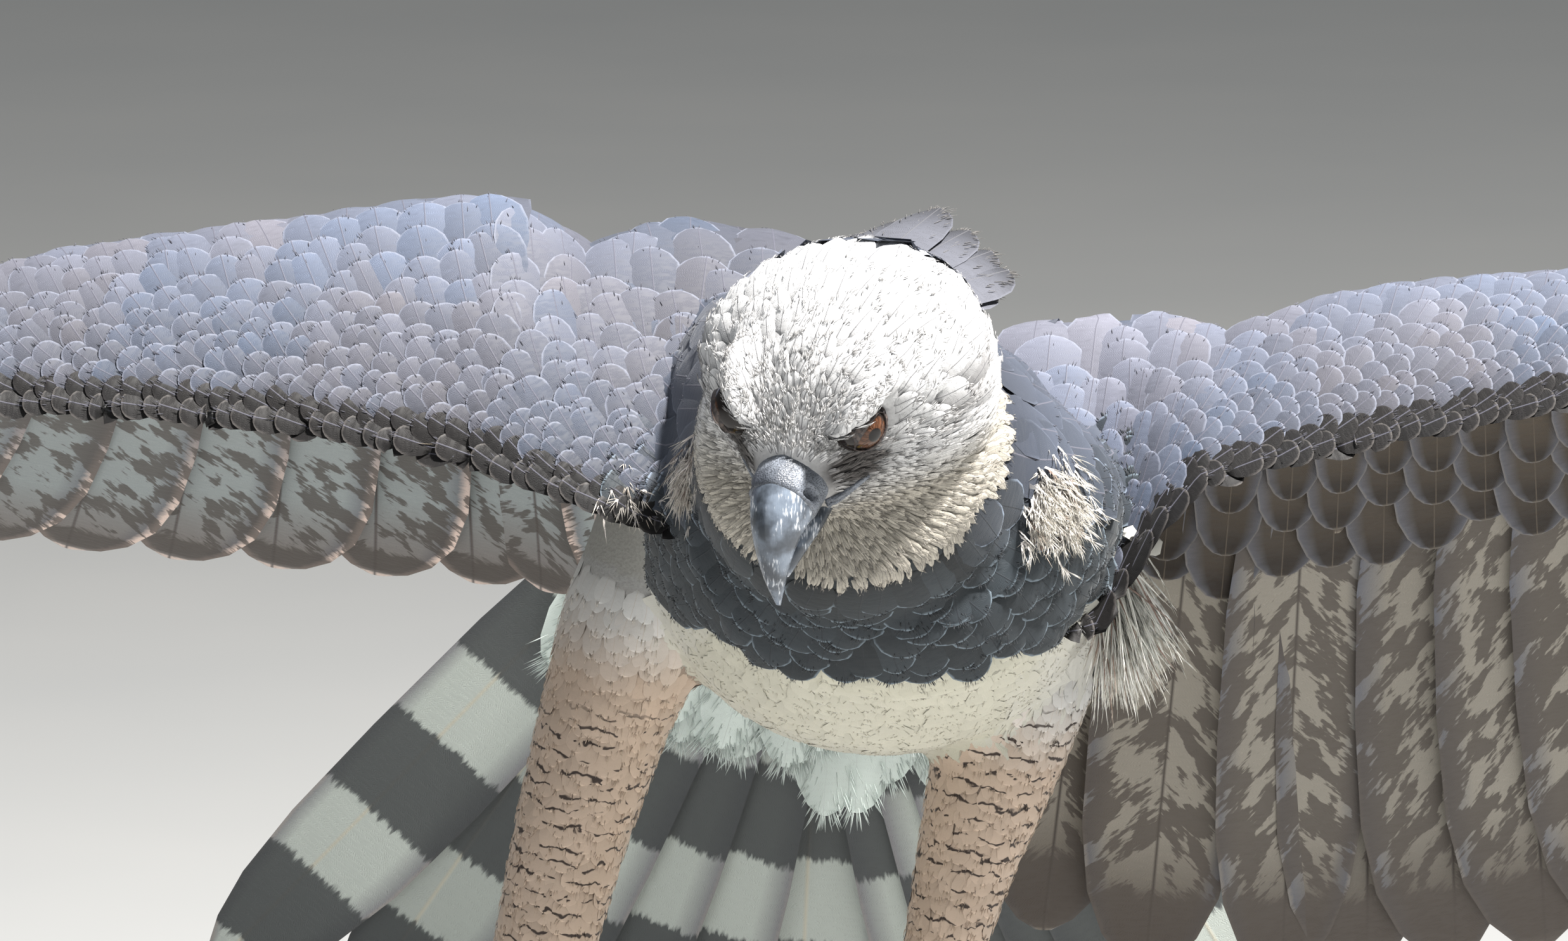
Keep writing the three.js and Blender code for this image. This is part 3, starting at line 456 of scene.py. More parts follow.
@dataclass(frozen=True)
class PlumeFinish:
    """The look of one kind of feather: its barbs, shaft, rim, and how soft it is."""

    name: str
    barb_gap: float = 0.8
    barb_slant: float = 1.2
    barb_depth: float = 0.3
    shaft_width: float = 0.5
    shaft: Colour = (0.2, 0.2, 0.22)
    rim_width: float = 1.0
    rim_strength: float = 0.6
    mottle: float = 0.25
    sheen: float = 0.15
    bump: float = 0.35

    def ground(self, t: Tree, vane: dict) -> Socket:
        """The colour over the feather, before the shader; plain here."""
        return vane["Colour"]

    def material(self) -> Material:
        """The finished material."""
        material, t, shader = new_material(self.name)
        vane = use_group(
            t, vane_group(), Barb_gap=self.barb_gap, Barb_slant=self.barb_slant, Barb_depth=self.barb_depth,
            Shaft_width=self.shaft_width, Shaft=self.shaft, Rim_width=self.rim_width,
            Rim_strength=self.rim_strength, Mottle=self.mottle
        )
        dress(t, shader, self.ground(t, vane), vane["Rough"], vane["Height"], self.bump, distance=0.0004)
        shader.inputs["Sheen Weight"].default_value = self.sheen
        shader.inputs["Sheen Roughness"].default_value = 0.4
        shader.inputs["Specular IOR Level"].default_value = 0.35
        return material


@dataclass(frozen=True)
class ChevronFinish(PlumeFinish):
    """The thigh's feathers: each has one or two thin dark wavy bars."""

    dark: Colour = (0.05, 0.035, 0.03)
    gap: float = 0.0078
    top: float = 0.485

    def ground(self, t: Tree, vane: dict) -> Socket:
        """The vane's colour with the dark bars over it, in wavy rows down the leg."""
        place = t.place()
        x, y, z = t.parts(place)
        _, _, who = t.parts(t.attribute("share"))
        wave = t.noise(place, 110.0, 2.0)
        down = t.math("MULTIPLY_ADD", wave, 0.011, t.math("MULTIPLY_ADD", x, 0.2, z))
        down = t.math("MULTIPLY_ADD", who, 0.0016, down)
        off = t.math("PINGPONG", t.math("DIVIDE", down, self.gap), 0.5)
        gate = t.noise(t.vector(x, y, t.math("MULTIPLY", z, 2.5)), 95.0, 2.0)
        wide = t.math("MULTIPLY", t.step(gate, 0.44, 0.56), 0.13)
        bar = t.math("SUBTRACT", 1.0, t.math("DIVIDE", off, t.math("MAXIMUM", wide, 0.001)), clamp=True)
        low = t.step(t.math("MULTIPLY_ADD", gate, 0.03, z), self.top + 0.015, self.top - 0.005)
        return t.mix(
            t.math("MULTIPLY", t.math("MULTIPLY", bar, 1.8, clamp=True), low), vane["Colour"], self.dark
        )


@dataclass(frozen=True)
class BandFinish(PlumeFinish):
    """The tail's feathers: dark and pale bands counted from the tip, with ragged edges."""

    stops: tuple[float, ...] = (0, 22, 79, 126, 181, 228, 283, 330)
    dark: Colour = (0.068, 0.074, 0.078)

    def ground(self, t: Tree, vane: dict) -> Socket:
        """Pale ground with the dark bands over it."""
        across, along, left = t.parts(t.attribute("lie"))
        ragged = t.noise(
            t.vector(t.math("MULTIPLY", across, 0.35), t.math("MULTIPLY", along, 0.05), 0.0), 1.0, 3.0, 0.7
        )
        place = t.math("ADD", left, t.math("MULTIPLY", t.math("SUBTRACT", ragged, 0.5), 14.0))
        ramp = t.add("ValToRGB", Fac=t.math("DIVIDE", place, 400.0))
        ramp.color_ramp.interpolation = "LINEAR"
        while len(ramp.color_ramp.elements) > 1:
            ramp.color_ramp.elements.remove(ramp.color_ramp.elements[-1])
        ramp.color_ramp.elements[0].color = (0, 0, 0, 1)
        for i, stop in enumerate(self.stops[1:], start=1):
            for shift, dark in ((-1.2, (i + 1) % 2), (1.2, i % 2)):
                ramp.color_ramp.elements.new((stop + shift) / 400.0).color = (dark, dark, dark, 1)
        return t.mix(t.math("MULTIPLY", ramp.outputs[0], 0.93), vane["Colour"], self.dark)


@dataclass(frozen=True)
class RemexFinish(PlumeFinish):
    """The wing's flight feathers: ragged dark blotches in bars."""

    dark: Colour = (0.07, 0.058, 0.05)
    amount: float = 0.5
    bar_gap: float = 48.0
    tip: float = 20.0
    clear: float = 4.0

    def ground(self, t: Tree, vane: dict) -> Socket:
        """The vane's colour with the blotches over it."""
        blotch = use_group(
            t, blotch_group(), Bar_gap=self.bar_gap, Dark=self.amount, Tip=self.tip, Rim=self.clear
        )
        return t.mix(t.math("MULTIPLY", blotch["Mask"], 0.85), vane["Colour"], self.dark)


# Meshes


def on_body(name: str, mesh: bpy.types.Mesh, nodes: tuple[str, ...] = ()) -> bpy.types.Object:
    """An object of a mesh that rides on the body and takes the place of CAD nodes."""
    made = bpy.data.objects.new(name, mesh)
    bpy.context.scene.collection.objects.link(made)
    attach(made, BODY)
    if nodes:
        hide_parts(*nodes)
    return made


def keep(made: bpy.types.Object, material: Material) -> None:
    """Gives a piece its material."""
    made.data.materials.append(material)


def finish_mesh(
    name: str, points: Array, loops: Array, starts: Array, nodes: tuple[str, ...] = ()
) -> bpy.types.Object:
    """A mesh object from arrays, riding on the body.

    Args:
        name: of the piece.
        points: places in millimetres from the shoulder centre.
        loops: the corner list.
        starts: where each face begins in it.
        nodes: the CAD nodes that it replaces.

    Returns:
        The object.
    """
    mesh = bpy.data.meshes.new(name)
    mesh.vertices.add(len(points))
    mesh.vertices.foreach_set("co", ((points + SHOULDERS) / 1000).astype(np.float32).ravel())
    mesh.loops.add(len(loops))
    mesh.loops.foreach_set("vertex_index", loops.astype(np.int32))
    mesh.polygons.add(len(starts))
    mesh.polygons.foreach_set("loop_start", starts.astype(np.int32))
    mesh.update(calc_edges=True)
    mesh.polygons.foreach_set("use_smooth", np.ones(len(starts), dtype=bool))
    return on_body(name, mesh, nodes)


def put_attribute(mesh: bpy.types.Mesh, name: str, values: Array, kind: str = "FLOAT_VECTOR") -> None:
    """Stores a value for each vertex of a mesh."""
    if kind == "FLOAT_COLOR":
        values = np.concatenate([values, np.ones((len(values), 1))], axis=1)
    field_name = {"FLOAT_COLOR": "color", "FLOAT_VECTOR": "vector", "FLOAT": "value"}[kind]
    mesh.attributes.new(name, kind, "POINT").data.foreach_set(field_name, values.astype(np.float32).ravel())


def put_bake_map(mesh: bpy.types.Mesh, places: Array, loops: Array) -> None:
    """Gives a mesh the map that the export bakes on."""
    layer = mesh.uv_layers.new(name="OFBake")
    layer.data.foreach_set("uv", np.clip(places, 0.001, 0.999)[loops].astype(np.float32).ravel())


@dataclass
class Plumes:
    """Feathers of one kind as arrays: N feathers with K stations each."""

    centre: Array
    out: Array
    half: Array
    tint: Array
    rim: Array
    patch: Array
    under: Array | None = None

    def joined(self, other: "Plumes") -> "Plumes":
        """These feathers and others as one set."""
        names = ("centre", "out", "half", "tint", "rim", "patch")
        under = None if self.under is None else np.concatenate([self.under, other.under])
        return Plumes(*(np.concatenate([getattr(self, n), getattr(other, n)]) for n in names), under)

    def build(self, name: str, material: Material, columns: int = 3, camber: float = 0.18,
              thick: float = 0.25, patch: Array | None = None, slot: str = "body_feather",
              lean: Array | None = None, shift: Array | None = None) -> None:
        """Makes the feathers as one closed mesh each, joined in one object.

        Args:
            name: of the piece.
            material: its finish.
            columns: points across the upper face; 2 gives a three-sided blade.
            camber: drop of the edges as a share of the half width.
            thick: half the thickness at the shaft.
            patch: size of each feather's patch on the bake map, 0.003 where not given.
            slot: the name of the record's material slot; not used.
            lean: share of each feather's width on the side it points to across, half where not given.
            shift: added to each feather's distance from the tip, as its bands count it.
        """
        if columns == 2:
            xs, zs = vec(-1, 0, 1), vec(0, 1, 0)
        else:
            top = np.linspace(-1, 1, columns)
            xs = np.concatenate([top, top[-2:0:-1]])
            zs = np.concatenate([1 - top**2, -(1 - top[-2:0:-1] ** 2)])
        n, k = self.half.shape
        ring = len(xs)
        along = unit(np.gradient(self.centre, axis=1))
        across = square(along, self.out)
        out = np.cross(across, along)
        half = self.half[..., None, None]
        lean = np.full(n, 0.5) if lean is None else lean
        xs_wide = xs * (1 + (2 * lean[:, None] - 1) * np.sign(xs))
        points = (
            self.centre[:, :, None] + across[:, :, None] * half * xs_wide[:, None, :, None]
            + out[:, :, None] * (-camber * half * xs[:, None] ** 2 + np.minimum(thick, half * 0.4 + 0.05)
            * zs[:, None])
        ).reshape(-1, 3)
        base = (np.arange(n)[:, None, None] * k + np.arange(k - 1)[None, :, None]) * ring
        j = np.arange(ring)
        m = (j + 1) % ring
        quads = np.stack([base + j, base + m, base + ring + m, base + ring + j], axis=-1).reshape(-1)
        first = np.arange(n)[:, None] * k * ring
        caps = np.concatenate([first + j[::-1], first + (k - 1) * ring + j], axis=1).reshape(-1)
        loops = np.concatenate([quads, caps])
        starts = np.concatenate([np.arange(len(quads) // 4) * 4, len(quads) + np.arange(2 * n) * ring])
        made = finish_mesh(name, points, loops, starts)
        mesh = made.data
        steps = np.linalg.norm(np.diff(self.centre, axis=1), axis=-1)
        gone = np.concatenate([np.zeros((n, 1)), np.cumsum(steps, axis=1)], axis=1)[:, :, None]
        total = gone[:, -1:, :]
        spread = self.half[:, :, None] * xs_wide[:, None]
        ones = np.ones((n, k, ring))
        left = total - gone + (0 if shift is None else shift[:, None, None])
        put_attribute(mesh, "lie", np.stack([spread, gone * ones, left * ones], axis=-1).reshape(-1, 3))
        who = CHANCE.random(n)[:, None, None]
        share = gone / total
        put_attribute(
            mesh, "share", np.stack([xs * ones, share * ones, who * ones], axis=-1).reshape(-1, 3)
        )
        tint = np.repeat(self.tint[:, :, None], ring, axis=2)
        if self.under is not None:
            tint = np.where((zs < 0)[None, None, :, None], self.under[:, :, None], tint)
        put_attribute(mesh, "tint", np.clip(tint, 0, 1).reshape(-1, 3), "FLOAT_COLOR")
        put_attribute(
            mesh, "rim", np.repeat(self.rim[:, None], k * ring, axis=1).reshape(-1, 3), "FLOAT_COLOR"
        )
        size = (np.full((n, 2), 0.003) if patch is None else patch)[:, None, None, :]
        turned = np.stack(
            [xs * np.where(zs < 0, 0.2, 0.25) + np.where(zs < 0, -0.25, 0.25), 0 * xs], axis=-1
        )
        places = self.patch[:, None, None] + size * (
            turned + np.stack([0 * share * ones, (share - 0.5) * ones], axis=-1)
        )
        put_bake_map(mesh, places.reshape(-1, 2), loops)
        if columns > 2:
            rims = np.tile(np.abs(xs) == 1, n * k)
            ends = np.empty(len(mesh.edges) * 2, dtype=np.int32)
            mesh.edges.foreach_get("vertices", ends)
            ends = ends.reshape(-1, 2)
            mesh.edges.foreach_set("use_edge_sharp", rims[ends].all(axis=1))
        keep(made, material)
        LOG.info("%s: %d feathers, %d triangles", name, n, n * (2 * ring * (k - 1) + 2 * (ring - 2)))


class Outline(Enum):
    """How a feather's half width runs from root to tip, at even or given stations."""

    ROUND = ((0, 0.25), (0.3, 0.8), (0.6, 1.0), (0.82, 0.88), (0.94, 0.52), (1, 0.1))
    BROAD = (
        (0, 0.3), (0.2, 0.72), (0.45, 0.97), (0.68, 1.0), (0.84, 0.86), (0.93, 0.62), (0.98, 0.36),
        (1, 0.12)
    )
    LONG = (
        (0, 0.12), (0.06, 0.35), (0.2, 0.72), (0.4, 0.9), (0.6, 0.95), (0.76, 0.93), (0.87, 0.8),
        (0.94, 0.58), (0.98, 0.34), (1, 0.1)
    )
    HAIR = ((0, 0.6), (0.5, 1.0), (1, 0.06))
    POINTED = ((0, 0.4), (0.35, 1.0), (0.7, 0.72), (1, 0.06))

    @property
    def at(self) -> Array:
        """The stations' shares of the length."""
        return np.array([row[0] for row in self.value], dtype=float)

    @property
    def wide(self) -> Array:
        """The share of the half width at each station."""
        return np.array([row[1] for row in self.value], dtype=float)


# Skin


def oval(
    centre: Array, right: Array, up: Array, half: float, above: float, below: float,
    square: tuple[float, float] = (1, 1), count: int = 32
) -> Array:
    """A ring of points round a centre, with its own reach and squareness above and below."""
    a = np.arange(count) / count * 2 * math.pi
    c, s = np.cos(a), np.sin(a)
    power = np.where(s > 0, square[0], square[1])
    x = np.sign(c) * np.abs(c) ** power * half
    y = np.sign(s) * np.abs(s) ** power * np.where(s > 0, above, below)
    return centre + x[:, None] * right + y[:, None] * up


def loft(rings: Array, first: Array, last: Array) -> Shell:
    """A closed skin over rings of equal count.

    Args:
        rings: R rings of C points.
        first: the point that closes the start.
        last: the point that closes the end.

    Returns:
        The points and the faces.
    """
    r, c = rings.shape[:2]
    points = np.concatenate([rings.reshape(-1, 3), first[None], last[None]])
    faces = []
    for j in range(c):
        m = (j + 1) % c
        faces += [(r * c, m, j), (r * c + 1, (r - 1) * c + j, (r - 1) * c + m)]
        faces += [(i * c + j, i * c + m, (i + 1) * c + m, (i + 1) * c + j) for i in range(r - 1)]
    return points, faces


def tube(path: Array, radii: Array, side: Array, flat: float = 1.0, count: int = 16) -> Shell:
    """A round-sectioned tube through points, closed at both ends."""
    ways = unit(np.gradient(path, axis=0))
    rings = []
    for p, way, radius in zip(path, ways, radii):
        up = square(way, side)
        rings.append(oval(p, square(up, way), up, radius, radius * flat, radius * flat, count=count))
    rings = np.array(rings)
    return loft(rings, path[0] - ways[0] * radii[0] * 0.25, path[-1] + ways[-1] * radii[-1] * 0.25)


def fine_rows(rows: list, sub: int = 3) -> Array:
    """A table of stations made finer by a smooth line through its entries."""
    table = np.array(rows, dtype=float)
    columns = [
        smooth_line(np.stack([table[:, 0], table[:, i], 0 * table[:, 0]], axis=-1)[None], sub)[0]
        for i in range(1, table.shape[1])
    ]
    return np.stack([columns[0][:, 0], *(c[:, 1] for c in columns)], axis=-1)


@dataclass(frozen=True)
class Wing:
    """One wing: its leading edge and ridge as (reach, back, up) rows, and the lie of its feathers."""

    name: str
    side: int
    lead: tuple
    ridge: tuple
    elbow: float
    wrist: float
    tip: tuple
    flows: tuple  # at the body, the elbow, the wrist and the tip
    depth: float = 36.0

    def station(self, rows: tuple, reach: Array) -> Array:
        """Places on one of the wing's lines, at reaches to the side."""
        table = np.array(rows, dtype=float)
        return np.stack([self.side * reach, np.interp(reach, table[:, 0], table[:, 1]),
                         np.interp(reach, table[:, 0], table[:, 2])], axis=-1)

    def flow(self, reach: Array, hand: Array | float = 0) -> Array:
        """The lie of the feathers at reaches along the arm, or past the wrist at shares of the hand."""
        a, b, c, d = (unit(vec(*f)) for f in self.flows)
        inner = np.clip((reach - 95) / (self.elbow - 95), 0, 1)[..., None]
        outer = np.clip((reach - self.elbow) / (self.wrist - self.elbow), 0, 1)[..., None]
        arm = np.where(inner < 1, a + (b - a) * inner, b + (c - b) * outer)
        share = np.broadcast_to(hand, np.shape(reach))[..., None]
        return unit(np.where(share > 0, c + (d - c) * share, arm))

    def wrist_point(self) -> Array:
        """The middle of the wrist."""
        at = vec(self.wrist)
        return (self.station(self.lead, at) + self.station(self.ridge, at))[0] / 2

    def root(self, reach: Array, hand: Array | float = 0) -> Array:
        """Where feathers' roots lie, along the ridge and then along the hand."""
        share = np.broadcast_to(hand, np.shape(reach))[..., None]
        hand_line = self.wrist_point() + (vec(*self.tip) - self.wrist_point()) * share
        return np.where(share > 0, hand_line, self.station(self.ridge, reach))

    def over(self, reach: Array, hand: Array, down: Array | float) -> Array:
        """The direction out of the upper surface that the feathers make, at a distance down them."""
        def at(step: float) -> Array:
            """The place on the feathers a step along the wing."""
            share = np.where(hand > 0, hand + step * 0.1, 0)
            there = reach + step * 24
            drop = np.broadcast_to(down, np.shape(reach))[..., None]
            return self.root(there, share) + self.flow(there, share) * drop

        return square(at(1) - at(-1), self.flow(reach, hand)) * self.side

    def controls(self, reach: Array) -> tuple[Array, Array]:
        """Control points of the arm's section from the leading edge, over and under.

        Args:
            reach: N reaches.

        Returns:
            The upper points (N, 5, 3) and the lower points (N, 4, 3).
        """
        lead, ridge = self.station(self.lead, reach), self.station(self.ridge, reach)
        way = self.flow(reach) * vec(0, 1, 1)
        way = unit(way)
        over = unit(np.stack([0 * reach, -way[:, 2], way[:, 1]], axis=-1))
        chord = ridge - lead
        face = unit(np.stack([0 * reach, -chord[:, 2], chord[:, 1]], axis=-1))
        size = np.minimum(np.linalg.norm(chord, axis=-1, keepdims=True) / 80, 1)
        depth = self.depth * size
        upper = [lead, lead + chord * 0.2 + face * 4 * size, lead + chord * 0.58 + face * 7 * size, ridge,
                 ridge + way * 38 * size - over * 4]
        lower = [
            lead, lead + chord * 0.2 - face * depth * 0.42, ridge + way * 8 * size - over * depth * 0.95,
            ridge + way * 42 * size - over * (15 * size + 4)
        ]
        return np.stack(upper, axis=1), np.stack(lower, axis=1)

    def line(self, reach: Array, upper: bool) -> Array:
        """The section's line from the leading edge, over or under the arm and the flight feathers."""
        points = self.controls(reach)[0 if upper else 1]
        way = unit(self.flow(reach) * vec(0, 1, 1))
        line = smooth_line(points, 5)
        return np.concatenate([line, line[:, -1:] + way[:, None] * 60], axis=1)

    def arm(self) -> Shell:
        """The arm's flesh from the body to the wrist."""
        reach = np.linspace(24, self.wrist + 4, 36)
        upper, lower = self.controls(reach)
        rings = smooth_line(np.concatenate([upper, lower[:, :0:-1]], axis=1), 4, closed=True)
        return loft(rings, rings[0].mean(axis=0), rings[-1].mean(axis=0))

    def palm(self) -> Shell:
        """The hand's flesh from the wrist to the tip."""
        share = vec(-0.1, 0.12, 0.4, 0.75, 1, 1.12)[:, None]
        wrist = self.wrist_point()
        return tube(
            wrist + (vec(*self.tip) - wrist) * share, vec(17, 20, 16.5, 12, 8, 4), vec(0, 1, 0), flat=0.85
        )


RIGHT_WING = Wing(
    "right",
    side=-1,
    lead=(
        (50, -52, -62), (113, -50, -53), (152, -45, -40), (185, -40, -27), (252, -36, -15),
        (320, -34, -8), (387, -34, -6), (436, -38, 4)
    ),
    ridge=(
        (26, 62, 24), (46, 58, 50), (98, 56, 58), (137, 42, 50), (154, 38, 61), (172, 36, 71),
        (207, 36, 70), (271, 34, 61), (356, 28, 51), (405, 14, 42), (436, -4, 32)
    ),
    elbow=183,
    wrist=430,
    tip=(-562, 10, 20),
    flows=((0.1, 0.78, -0.63), (0.05, 0.82, -0.57), (-0.3, 0.87, -0.38), (-0.95, 0.3, -0.04))
)
LEFT_WING = Wing(
    "left",
    side=1,
    lead=(
        (50, -50, -104), (84, -50, -99), (111, -45, -54), (128, -40, -37), (185, -36, -24),
        (252, -34, -11), (286, -34, -3), (386, -34, 22), (426, -38, 34)
    ),
    ridge=(
        (32, 56, -14), (54, 52, 12), (112, 50, 18), (139, 38, 13), (160, 36, 19), (186, 35, 28),
        (220, 35, 34), (288, 34, 39), (350, 28, 45), (395, 14, 50), (426, -4, 54)
    ),
    elbow=190,
    wrist=420,
    tip=(548, 12, 82),
    flows=((-0.1, 0.38, -0.915), (-0.02, 0.4, -0.915), (0.24, 0.5, -0.82), (0.93, 0.34, -0.02))
)


@dataclass
class Skin:
    """The flesh as one skin, inside the solids by the coat's depth, and the feathers' lie over it."""

    voxel: float = 3.4
    depth: float = 2.5
    sink: float = 0.8
    trunk_rows: tuple = (
        (-92, 34, -52, 36, 40), (-78, 66, -50, 58, 70), (-48, 92, -47, 68, 96), (0, 105, -43, 68, 110),
        (50, 110, -45, 70, 116), (100, 107, -48, 76, 113), (150, 97, -46, 80, 101), (200, 80, -38, 74, 82),
        (250, 64, -28, 60, 62), (300, 50, -18, 42, 42), (335, 40, -10, 27, 27)
    )
    skew: float = 0.28
    neck_rows: tuple = (
        ((-6, 10, -40), 86, 66, 92), ((-10, -40, -30), 82, 64, 86), ((-17, -74, -20), 74, 63, 76),
        ((-23, -100, -12), 69, 63, 71), ((-27, -122, -6), 62, 60, 64)
    )
    head_lean: float = 0.32
    head_rows: tuple = (
        (-60, 40, 36, 28), (-50, 54, 48, 44), (-32, 65, 54, 58), (-12, 66, 53, 63), (8, 57, 49, 58),
        (22, 45, 44, 46), (34, 31, 35, 34), (44, 22, 24, 25), (51, 16, 15, 16)
    )
    thigh_rows: dict = field(
        default_factory=lambda: {"right": ((-72, 92, -92, 44, 58), (-87, 84, -150, 36, 50),
        (-93, 72, -190, 30.5, 39), (-97, 62, -240, 27, 31), (-98.5, 53, -290, 24, 26),
        (-99, 47, -330, 18, 19), (-99, 44, -346, 14, 15)),
        "left": ((70, 92, -80, 44, 58), (80, 84, -135, 38, 50), (80.5, 72, -170, 30.5, 39),
        (76.5, 62, -215, 24, 30), (74, 53, -258, 19, 23), (72.5, 47, -300, 16.5, 18),
        (72, 44, -318, 14, 15))}
    )
    points: Array = field(default_factory=lambda: np.zeros((0, 3)))
    faces: Array = field(default_factory=lambda: np.zeros((0, 4), dtype=int))

    def trunk(self) -> Shell:
        """The trunk."""
        right, up = Pose.TRUNK @ vec(1, 0, 0), Pose.TRUNK @ vec(0, 0, 1)
        rings = []
        for back, half, centre, rise, drop in self.trunk_rows:
            middle = Pose.trunk(vec(0, back, centre))
            ring = oval(middle, right, up, half, rise, drop, square=(0.82, 0.95))
            above = np.maximum((ring - middle) @ up / rise, 0)
            rings.append(ring - up * (self.skew * above * ((ring - middle) @ right))[:, None])
        return loft(np.array(rings), Pose.trunk(vec(0, -100, -58)), Pose.trunk(vec(0, 345, -8)))

    def neck(self) -> Shell:
        """The neck."""
        centres = np.array([row[0] for row in self.neck_rows], dtype=float)
        right = Pose.body(vec(1, 0, 0))
        rings = []
        for i, (centre, half, rise, drop) in enumerate(self.neck_rows):
            forward = unit(centres[min(i + 1, 4)] - centres[max(i - 1, 0)])
            up = square(forward, right)
            up = up if up[2] > 0 else -up
            rings.append(oval(vec(*centre), square(forward, up), up, half, rise, drop))
        return loft(np.array(rings), centres[0], centres[-1] + vec(-1, -22, -2))

    def head(self) -> Shell:
        """The head without its brows."""
        right, up = Pose.head_way(0, 1, 0), Pose.head_way(0, 0, 1)
        rings = []
        for a, half, rise, drop in fine_rows(self.head_rows):
            middle = Pose.head(vec(a, 0, 0))
            ring = oval(middle, right, up, half, rise, drop, square=(1.0, 0.95))
            rings.append(ring + right * self.lean((ring - middle) @ up)[:, None])
        return loft(np.array(rings), Pose.head(vec(-66, 0, 0)), Pose.head(vec(55, 0, 0)))

    @classmethod
    def lean(cls, height: Array) -> Array:
        """How far the crown leans to the bird's left at heights over the head's middle."""
        return cls.head_lean * np.maximum(height - 14, 0)

    def brow(self, side: int) -> Shell:
        """The ridge over one eye."""
        t = vec(-1, -0.5, 0, 0.5, 1)
        up = 33.5 - t * 5.5 - t * t * 2
        path = Pose.head(
            np.stack([24 + t * 21, side * (31 - 7.5 * t - 4 * t * t) + self.lean(up) * 0.7, up], axis=-1)
        )
        return tube(path, vec(3.5, 7.5, 8.5, 7.5, 4), Pose.head_way(0, 0, 1))

    def thigh(self, name: str) -> Shell:
        """One thigh down to the ankle."""
        rows = self.thigh_rows[name]
        right, back = Pose.body(vec(1, 0, 0)), Pose.body(vec(0, 1, 0))
        rings = [oval(Pose.body(vec(x, y, z)), right, back, h, d, d) for x, y, z, h, d in rows]
        x, y, z = rows[0][:3]
        return loft(
            np.array(rings), Pose.body(vec(x, y, z + 10)), rings[-1].mean(axis=0) + Pose.body(vec(0, 0, -8))
        )

    def make(self) -> None:
        """Joins the shells by a voxel remesh, smooths them, and draws them in by the coat's depth."""
        shells = [self.trunk(), self.neck(), self.head(), self.brow(-1), self.brow(1), self.thigh("right"),
                  self.thigh("left"), TAIL.rump()]
        for wing in (RIGHT_WING, LEFT_WING):
            shells += [wing.arm(), wing.palm()]
        points, faces = [], []
        for shell_points, shell_faces in shells:
            start = sum(len(p) for p in points)
            points.append(shell_points)
            faces += [tuple(start + i for i in face) for face in shell_faces]
        mesh = bpy.data.meshes.new("rough")
        mesh.from_pydata(np.concatenate(points).tolist(), [], faces)
        rough = bpy.data.objects.new("rough", mesh)
        bpy.context.scene.collection.objects.link(rough)
        remesh = rough.modifiers.new("voxels", "REMESH")
        remesh.mode, remesh.voxel_size = "VOXEL", self.voxel
        smooth = rough.modifiers.new("smooth", "SMOOTH")
        smooth.factor, smooth.iterations = 0.5, 6
        made = bpy.data.meshes.new_from_object(rough.evaluated_get(bpy.context.evaluated_depsgraph_get()))
        bpy.data.objects.remove(rough)
        points, normals = np.empty((2, len(made.vertices) * 3))
        made.vertices.foreach_get("co", points)
        made.vertices.foreach_get("normal", normals)
        points, normals = points.reshape(-1, 3), normals.reshape(-1, 3)
        points = points - normals * self.depth
        points = EYES.carve(points)
        faces = np.array(
            [p.vertices[:] if len(p.vertices) == 4 else (*p.vertices[:], p.vertices[2])
            for p in made.polygons]
        )
        self.points, self.faces = points, faces
        loops, starts = faces.reshape(-1), np.arange(len(faces)) * 4
        flesh = ["torso", "neck", "head", "tail"] + [
            f"{part}_{side}" for side in ("right", "left")
            for part in ("thigh", "upper_arm", "forearm", "hand")
        ]
        skin = finish_mesh("skin", points, loops, starts, tuple(flesh))
        skin.data.validate()
        put_attribute(skin.data, "tint", Regions.colour(points) * 0.55, "FLOAT_COLOR")
        corners = np.array([loop.vertex_index for loop in skin.data.loops])
        put_bake_map(skin.data, self.unwrap(points), corners)
        keep(skin, self.material())
        LOG.info("skin: %d faces", len(faces))
        self.tree = BVHTree.FromPolygons(points.tolist(), faces.tolist())
        self.face_normals = unit(normals[faces].mean(axis=1))

    @staticmethod
    def unwrap(points: Array) -> Array:
        """Places on the bake map: the body round its own axis, and the arms beside it."""
        q = Pose.to_trunk(points)
        angle = np.arctan2(q[:, 0], -(q[:, 2] + 45)) / (2 * math.pi) + 0.5
        body = np.stack([0.02 + 0.96 * angle, 0.36 + 0.62 * np.clip((q[:, 1] + 200) / 620, 0, 1)], axis=-1)
        arm = np.stack([0.5 + points[:, 0] / 1250, 0.17 + (points[:, 2] - points[:, 1]) / 1400], axis=-1)
        return np.where((np.abs(points[:, 0]) > 150)[:, None], arm, body)

    @staticmethod
    def material() -> Material:
        """Downy skin: the tint with a fine mottle."""
        material, t, shader = new_material("skin_down")
        place = t.place()
        fine = t.noise(place, 700.0, 3.0)
        shade = t.math("MULTIPLY_ADD", fine, 0.5, 0.75)
        colour = t.shaded(t.attribute("tint", "Color"), shade)
        dress(
            t, shader, colour, t.math("MULTIPLY_ADD", fine, 0.2, 0.7), fine, strength=0.5, distance=0.0006
        )
        return material

    def snap(self, places: Array) -> tuple[Array, Array]:
        """The nearest points of the skin, and its direction there."""
        found = [self.tree.find_nearest(Vector(p)) for p in places.tolist()]
        near = np.array([f[0][:] for f in found])
        return near, self.face_normals[np.array([f[2] for f in found])]

